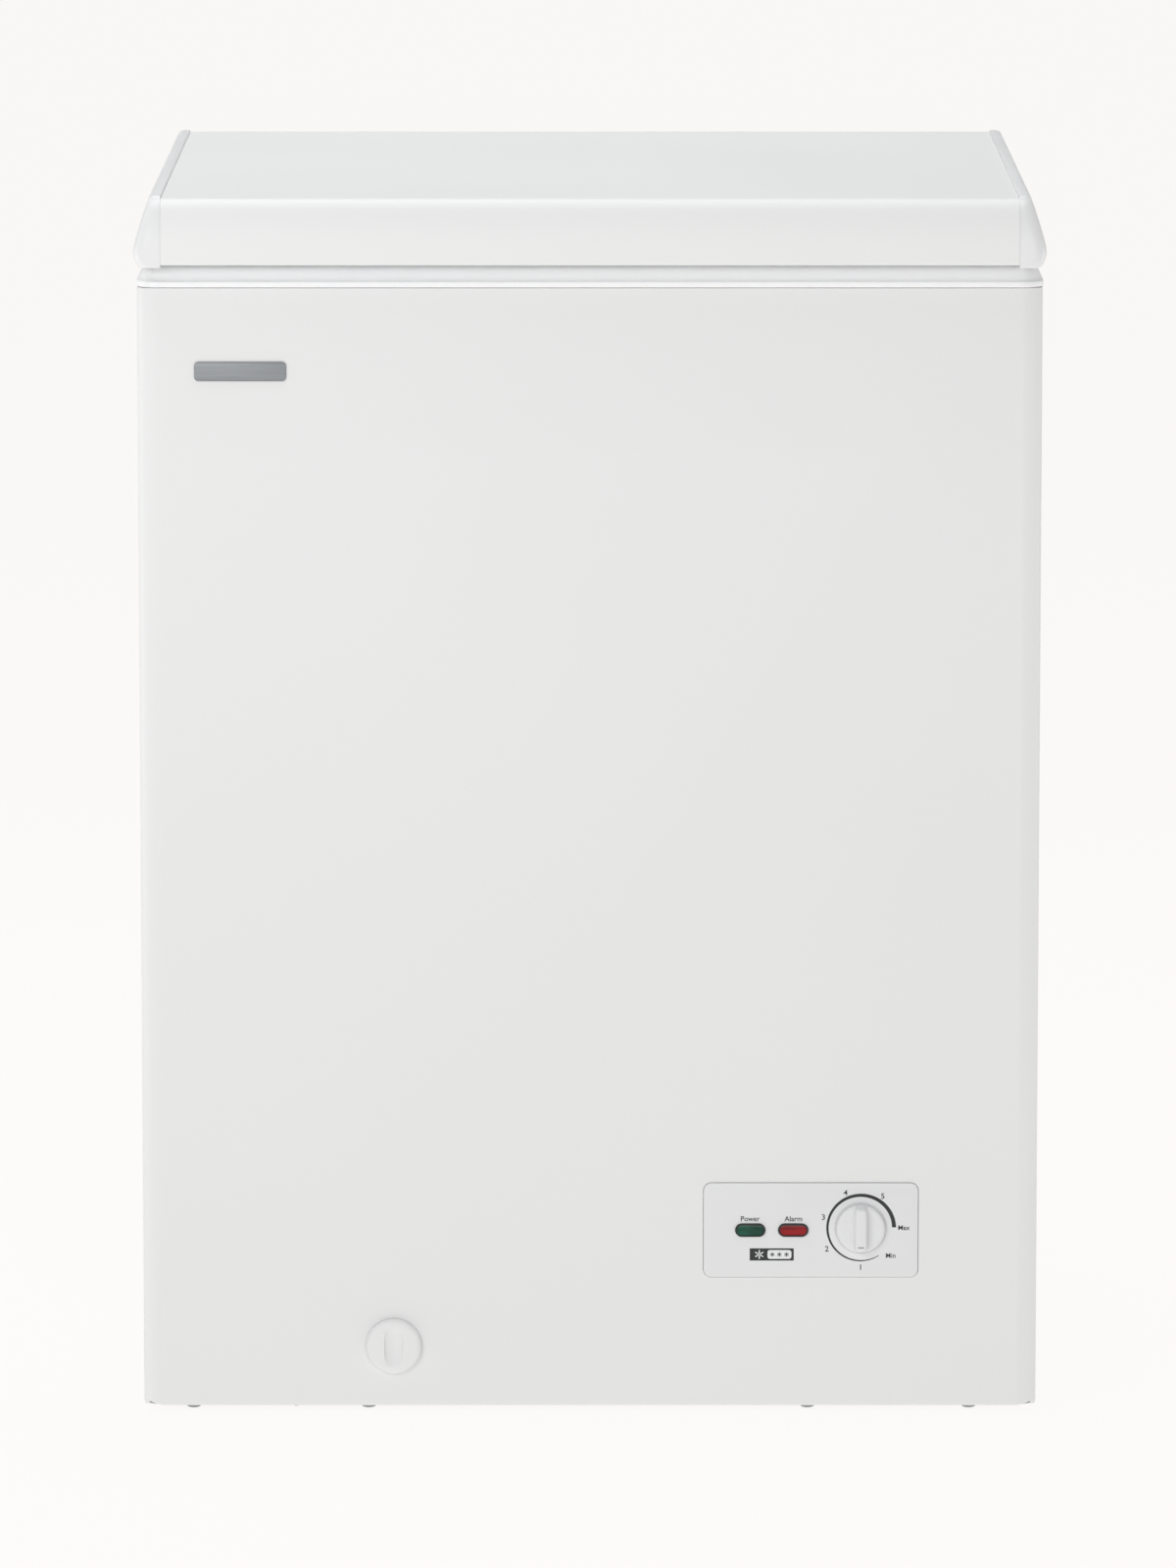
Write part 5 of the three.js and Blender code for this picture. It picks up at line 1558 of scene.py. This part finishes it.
def gland():
    """The round bushing that the cord would leave by."""
    lo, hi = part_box("cord_gland")
    x, z = (lo.x + hi.x) / 2, (lo.z + hi.z) / 2
    bore = 3.8 * MM
    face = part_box("rear_panel")[1].y + 0.4 * MM
    flange = (hi.x - lo.x) / 2
    section = [
        (bore, lo.y),
        (6.9 * MM, lo.y),
        (6.9 * MM, face),
        (flange, face),
        (flange, face + 2.6 * MM),
        (flange - 1.0 * MM, face + 3.8 * MM),
        (7.4 * MM, face + 4.2 * MM),
        (6.2 * MM, hi.y - 0.6 * MM),
        (5.6 * MM, hi.y),
        (bore + 0.6 * MM, hi.y),
        (bore, hi.y - 0.6 * MM),
    ]
    steps = 40
    rings = []
    for i in range(steps):
        a = tau * i / steps
        rings.append([(x + r * cos(a), y, z + r * sin(a)) for r, y in section])
    piece(
        "cord_bushing", loft(rings, looped=True), finish("nylon"), "cabinet", ["cord_gland"]
    )


def compressor():
    """The compressor's welded can."""
    lo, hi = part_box("compressor_shell")
    x, y = (lo.x + hi.x) / 2, (lo.y + hi.y) / 2
    radius, base, top = (hi.x - lo.x) / 2, lo.z, hi.z
    body = radius - 3 * MM
    profile = [(0, base), (body - 16 * MM, base)]
    profile += [
        (body - 12 * MM + 12 * MM * sin(radians(a)), base + 12 * MM * (1 - cos(radians(a))))
        for a in range(15, 91, 15)
    ]
    profile += [
        (body, base + 76 * MM),
        (radius - 0.6 * MM, base + 78 * MM),
        (radius, base + 79 * MM),
        (radius, base + 83 * MM),
    ]
    profile += [
        (radius - 0.6 * MM, base + 84 * MM), (body - 1 * MM, base + 86 * MM), (body - 1 * MM, top - 42 * MM)
    ]
    profile += [
        ((body - 1 * MM) * cos(radians(a)) ** 0.8, top - 42 * MM + 42 * MM * sin(radians(a)))
        for a in range(12, 84, 8)
    ]
    profile += [(0, top)]
    piece(
        "compressor_can",
        turned(profile, (x, y, 0), "Z", 64),
        finish("enamel"),
        "cabinet",
        ["compressor_shell"],
        40,
    )


TUBE_STUB_Z = 112 * MM  # height at which both tubes leave the compressor


def fine_tube(name, node, points, radius, material, bend):
    """A bent tube that stands for one solid."""
    piece(name, tube(softened(points, bend, 8), radius, 14), finish(material), "cabinet", [node], 60)


def pipes():
    """The suction and discharge lines of the machine compartment, between the ends that their solids give."""
    can_lo, can_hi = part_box("compressor_shell")
    y = (can_lo.y + can_hi.y) / 2
    s_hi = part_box("suction_tube")[1]
    radius = 4 * MM
    gap = 0.4 * MM
    left = can_lo.x
    points = [
        (left - gap, y, TUBE_STUB_Z),
        (left - 22 * MM, y, TUBE_STUB_Z),
        (left - 24 * MM, y + 60 * MM, 150 * MM),
        (left - 20 * MM, s_hi.y - radius, 180 * MM),
        (s_hi.x - radius, s_hi.y - radius, 200 * MM),
        (s_hi.x - radius, s_hi.y - radius, s_hi.z),
    ]
    fine_tube("suction_line", "suction_tube", points, radius, "copper", 20 * MM)
    d_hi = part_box("discharge_tube")[1]
    right, radius = can_hi.x, 2.5 * MM
    end_x = 262 * MM
    points = [
        (right + gap, y, TUBE_STUB_Z),
        (right + 16 * MM, y, TUBE_STUB_Z),
        (right + 20 * MM, y + 50 * MM, TUBE_STUB_Z),
        (right + 20 * MM, d_hi.y - radius, 150 * MM),
        (end_x, d_hi.y - radius, 200 * MM),
        (end_x, d_hi.y - radius, d_hi.z),
    ]
    fine_tube("discharge_line", "discharge_tube", points, radius, "copper", 18 * MM)


def hidden_solids():
    """Pieces inside the walls and the compartment keep their solids, with finishes of their own."""
    recoat(finish("foam"), "foam_core", "lid_foam")
    recoat(finish("evaporator"), "evaporator_coil")
    recoat(finish("copper"), "condenser_coil", "capillary_tube", "filter_drier")
    recoat(finish("grey_plastic"), "drain_spout", "control_box")
    recoat(finish("zinc"), "thermostat_body", "thermostat_spindle", "compressor_mount_plate")
    recoat(finish("nylon"), "start_relay_cover", "wiring_harness")
    recoat(finish("soft_dark"), *[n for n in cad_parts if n.startswith("compressor_grommet")])


# ------------------------------------------------------------------ stage

SENSOR_WIDTH = 36  # in millimetres, as the lens is
CLIP_END = 200
FLOOR_HALF = 45.0  # metres, so that the floor's far edge lies past the view
FLOOR_THICKNESS = 20 * MM


def add_camera(sizes):
    """The camera in front of the freezer."""
    lens = bpy.data.cameras.new("view")
    lens.sensor_width = SENSOR_WIDTH
    lens.lens = sizes.lens
    lens.clip_end = CLIP_END
    made = placed("view", lens)
    made.location = (sizes.offset, -sizes.distance, sizes.height)
    made.rotation_euler = (radians(90) - sizes.tilt, 0, 0)
    bpy.context.scene.camera = made


def add_area(name, place, target, width, height, power, colour):
    """A softbox at a place, facing a target."""
    light = bpy.data.lights.new(name, "AREA")
    light.shape = "RECTANGLE"
    light.size, light.size_y = width, height
    light.energy = power
    light.color = colour
    made = placed(name, light)
    made.location = place
    made.rotation_euler = (Vector(target) - Vector(place)).to_track_quat("-Z", "Y").to_euler()


def stage(sizes):
    """The floor, the light all round, the softboxes and the camera."""
    half = FLOOR_HALF
    corners = [(-half, -half), (half, -half), (half, half), (-half, half)]
    floor = plain_object("floor_paper", prism(corners, -FLOOR_THICKNESS, 0.0))
    floor.data.materials.append(studio_paper("#404040", "#F9F7F5", sizes.glow))
    world = bpy.data.worlds.new("studio")
    world.use_nodes = True
    air = world.node_tree.nodes["Background"]
    air.inputs["Color"].default_value = (1.0, 1.0, 1.0, 1.0)
    air.inputs["Strength"].default_value = sizes.fill
    bpy.context.scene.world = world
    white = (1.0, 1.0, 1.0)
    add_area("key_softbox", (-1.1, -2.2, 1.3), (-0.1, -0.2, 0.75), 1.0, 0.6, sizes.key, white)
    add_area("front_softbox", (0.0, -4.5, 0.7), (0, 0, 0.5), 3.0, 1.2, sizes.front, white)
    add_area("top_softbox", (-0.3, 0.4, 3.2), (0, 0.0, 0.8), 3.0, 3.2, sizes.top, white)
    for name, x in (("left_strip", -2.0), ("right_strip", 2.0)):
        add_area(name, (x, 0.1, 0.45), (0, 0, 0.45), 0.6, 0.9, sizes.side, white)
    add_camera(sizes)
    bpy.context.scene.view_settings.view_transform = "Standard"
    bpy.context.scene.view_settings.look = "None"


# ------------------------------------------------------------------ add-on


class FreezerCabinetSizes(bpy.types.PropertyGroup):
    """Sizes of the painted cabinet"""

    corner: FloatProperty(
        name="Corner", description="Radius of the collar's corners", default=14 * MM, unit="LENGTH"
    )
    crease: FloatProperty(
        name="Crease",
        description="Where the flat front ends, from the side",
        default=12.2 * MM,
        unit="LENGTH",
    )
    slant: FloatProperty(
        name="Slant", description="First turn of the front's upright edges in degrees", default=16
    )
    bend: FloatProperty(
        name="Bend", description="Radius of the upright edges' bend", default=10.2 * MM, unit="LENGTH"
    )


def colour_choice(name, description, hex_colour):
    """A colour in the sidebar."""
    start = linear(hex_colour)[:3]
    return FloatVectorProperty(
        name=name, description=description, default=start, min=0, max=1, subtype="COLOR"
    )


class FreezerColours(bpy.types.PropertyGroup):
    """Colours of the paint, the mouldings, the lamps and the print"""

    paint: colour_choice("Paint", "Sheet steel of the cabinet and the lid", "#E6E7E7")
    moulding: colour_choice("Moulding", "Lid's end caps, knob and drain's cover", "#E2E3E4")
    power_lens: colour_choice("Power lens", "Lens of the lamp that shows the power is on", "#05382A")
    alarm_lens: colour_choice("Alarm lens", "Lens of the lamp that shows a high temperature", "#6A0408")
    ink: colour_choice("Print", "Dark print of the control panel", "#202224")
    wire: colour_choice("Wire", "Coat of the basket's wires", "#E1E3E4")


class FreezerBasketSizes(bpy.types.PropertyGroup):
    """Sizes of the wire basket"""

    wire: FloatProperty(
        name="Wire", description="Diameter of the thin wires", default=3.0 * MM, unit="LENGTH"
    )
    pitch: FloatProperty(
        name="Pitch", description="Distance between thin wires", default=25 * MM, unit="LENGTH"
    )


class FreezerStageSizes(bpy.types.PropertyGroup):
    """The camera's place and the lights' power"""

    lens: FloatProperty(name="Lens", description="Focal length in millimetres", default=231.24)
    offset: FloatProperty(
        name="Offset", description="Camera beside the middle", default=-1.3 * MM, unit="LENGTH"
    )
    distance: FloatProperty(
        name="Distance", description="Camera in front of the middle", default=7.101, unit="LENGTH"
    )
    height: FloatProperty(name="Height", description="Camera above the floor", default=1.4783, unit="LENGTH")
    tilt: FloatProperty(name="Tilt", description="Camera's tilt down", default=0.15067, unit="ROTATION")
    fill: FloatProperty(name="Fill", description="Strength of the light all round", default=0.3)
    glow: FloatProperty(name="Glow", description="Light that the floor itself gives", default=0.989)
    key: FloatProperty(
        name="Key", description="Power of the softbox at the front left", default=12.0, unit="POWER"
    )
    front: FloatProperty(
        name="Front", description="Power of the low softbox in front", default=31.0, unit="POWER"
    )
    top: FloatProperty(name="Top", description="Power of the softbox overhead", default=66.0, unit="POWER")
    side: FloatProperty(
        name="Side", description="Power of each strip beside the cabinet", default=6.0, unit="POWER"
    )


def cabinet_steps(scene):
    """Makes the cabinet."""
    outer_sheet(scene.freezer_cabinet)
    rear_sheet()
    rear_screws()
    base_tray()
    glides()
    collar(scene.freezer_cabinet)
    tank()
    badge()


def lid_steps():
    """Makes the lid."""
    lid_sheet()
    end_caps()
    rear_rail()
    lid_liner()
    gasket()
    hinges()


def control_steps():
    """Makes the controls."""
    fascia()
    lamp("power_lamp", "power_lens", "green", "green_lens")
    lamp("alarm_lamp", "alarm_lens", "red", "red_lens")
    knob()
    dial_print()
    rating_symbol()


def basket_steps(scene):
    """Makes the basket."""
    basket(scene.freezer_basket)
    hangers()


def machine_steps():
    """Makes what stands in the machine compartment."""
    grille()
    gland()
    compressor()
    pipes()
    hidden_solids()


class OBJECT_OT_freezer_cabinet(bpy.types.Operator):
    """Build the painted cabinet, its collar, tank, base and glides"""

    bl_idname = "object.freezer_cabinet"
    bl_label = "Cabinet"

    def execute(self, context):
        cabinet_steps(context.scene)
        return {"FINISHED"}


class OBJECT_OT_freezer_lid(bpy.types.Operator):
    """Build the lid, its seal and its hinges"""

    bl_idname = "object.freezer_lid"
    bl_label = "Lid"

    def execute(self, context):
        lid_steps()
        return {"FINISHED"}


class OBJECT_OT_freezer_controls(bpy.types.Operator):
    """Build the control panel, its lamps, knob and print"""

    bl_idname = "object.freezer_controls"
    bl_label = "Controls"

    def execute(self, context):
        control_steps()
        return {"FINISHED"}


class OBJECT_OT_freezer_drain(bpy.types.Operator):
    """Build the drain's cover and stopper"""

    bl_idname = "object.freezer_drain"
    bl_label = "Drain"

    def execute(self, context):
        drain_fittings()
        return {"FINISHED"}


class OBJECT_OT_freezer_basket(bpy.types.Operator):
    """Build the wire basket and its handles"""

    bl_idname = "object.freezer_basket"
    bl_label = "Basket"

    def execute(self, context):
        basket_steps(context.scene)
        return {"FINISHED"}


class OBJECT_OT_freezer_machine(bpy.types.Operator):
    """Build the louvred panel and what stands behind it"""

    bl_idname = "object.freezer_machine"
    bl_label = "Machine compartment"

    def execute(self, context):
        machine_steps()
        return {"FINISHED"}


class OBJECT_OT_freezer_stage(bpy.types.Operator):
    """Set up the floor, the lights and the camera"""

    bl_idname = "object.freezer_stage"
    bl_label = "Stage"

    def execute(self, context):
        stage(context.scene.freezer_stage)
        return {"FINISHED"}


class VIEW3D_PT_freezer(bpy.types.Panel):
    """The freezer's sizes and build steps"""

    bl_label = "Chest freezer"
    bl_idname = "VIEW3D_PT_freezer"
    bl_space_type = "VIEW_3D"
    bl_region_type = "UI"
    bl_category = "Freezer"

    def draw(self, context):
        scene = context.scene
        for group in (getattr(scene, name) for name in GROUPS):
            box = self.layout.box()
            for name in group.bl_rna.properties.keys():
                if name not in ("rna_type", "name"):
                    box.prop(group, name)
        for step in OPERATORS:
            self.layout.operator(step.bl_idname)


GROUPS = {
    "freezer_colours": FreezerColours,
    "freezer_cabinet": FreezerCabinetSizes,
    "freezer_basket": FreezerBasketSizes,
    "freezer_stage": FreezerStageSizes,
}
OPERATORS = (
    OBJECT_OT_freezer_stage,
    OBJECT_OT_freezer_cabinet,
    OBJECT_OT_freezer_lid,
    OBJECT_OT_freezer_controls,
    OBJECT_OT_freezer_drain,
    OBJECT_OT_freezer_basket,
    OBJECT_OT_freezer_machine,
)


def register():
    """Registers the classes and their settings."""
    for cls in (*GROUPS.values(), *OPERATORS, VIEW3D_PT_freezer):
        bpy.utils.register_class(cls)
    for name, group in GROUPS.items():
        setattr(bpy.types.Scene, name, PointerProperty(type=group))


def unregister():
    """Takes the classes and settings away again."""
    for name in GROUPS:
        delattr(bpy.types.Scene, name)
    for cls in (VIEW3D_PT_freezer, *reversed(OPERATORS), *reversed(list(GROUPS.values()))):
        bpy.utils.unregister_class(cls)


def main():
    """Builds everything."""
    register()
    for step in OPERATORS:
        family, name = step.bl_idname.split(".")
        getattr(getattr(bpy.ops, family), name)()


if __name__ == "__main__":
    main()
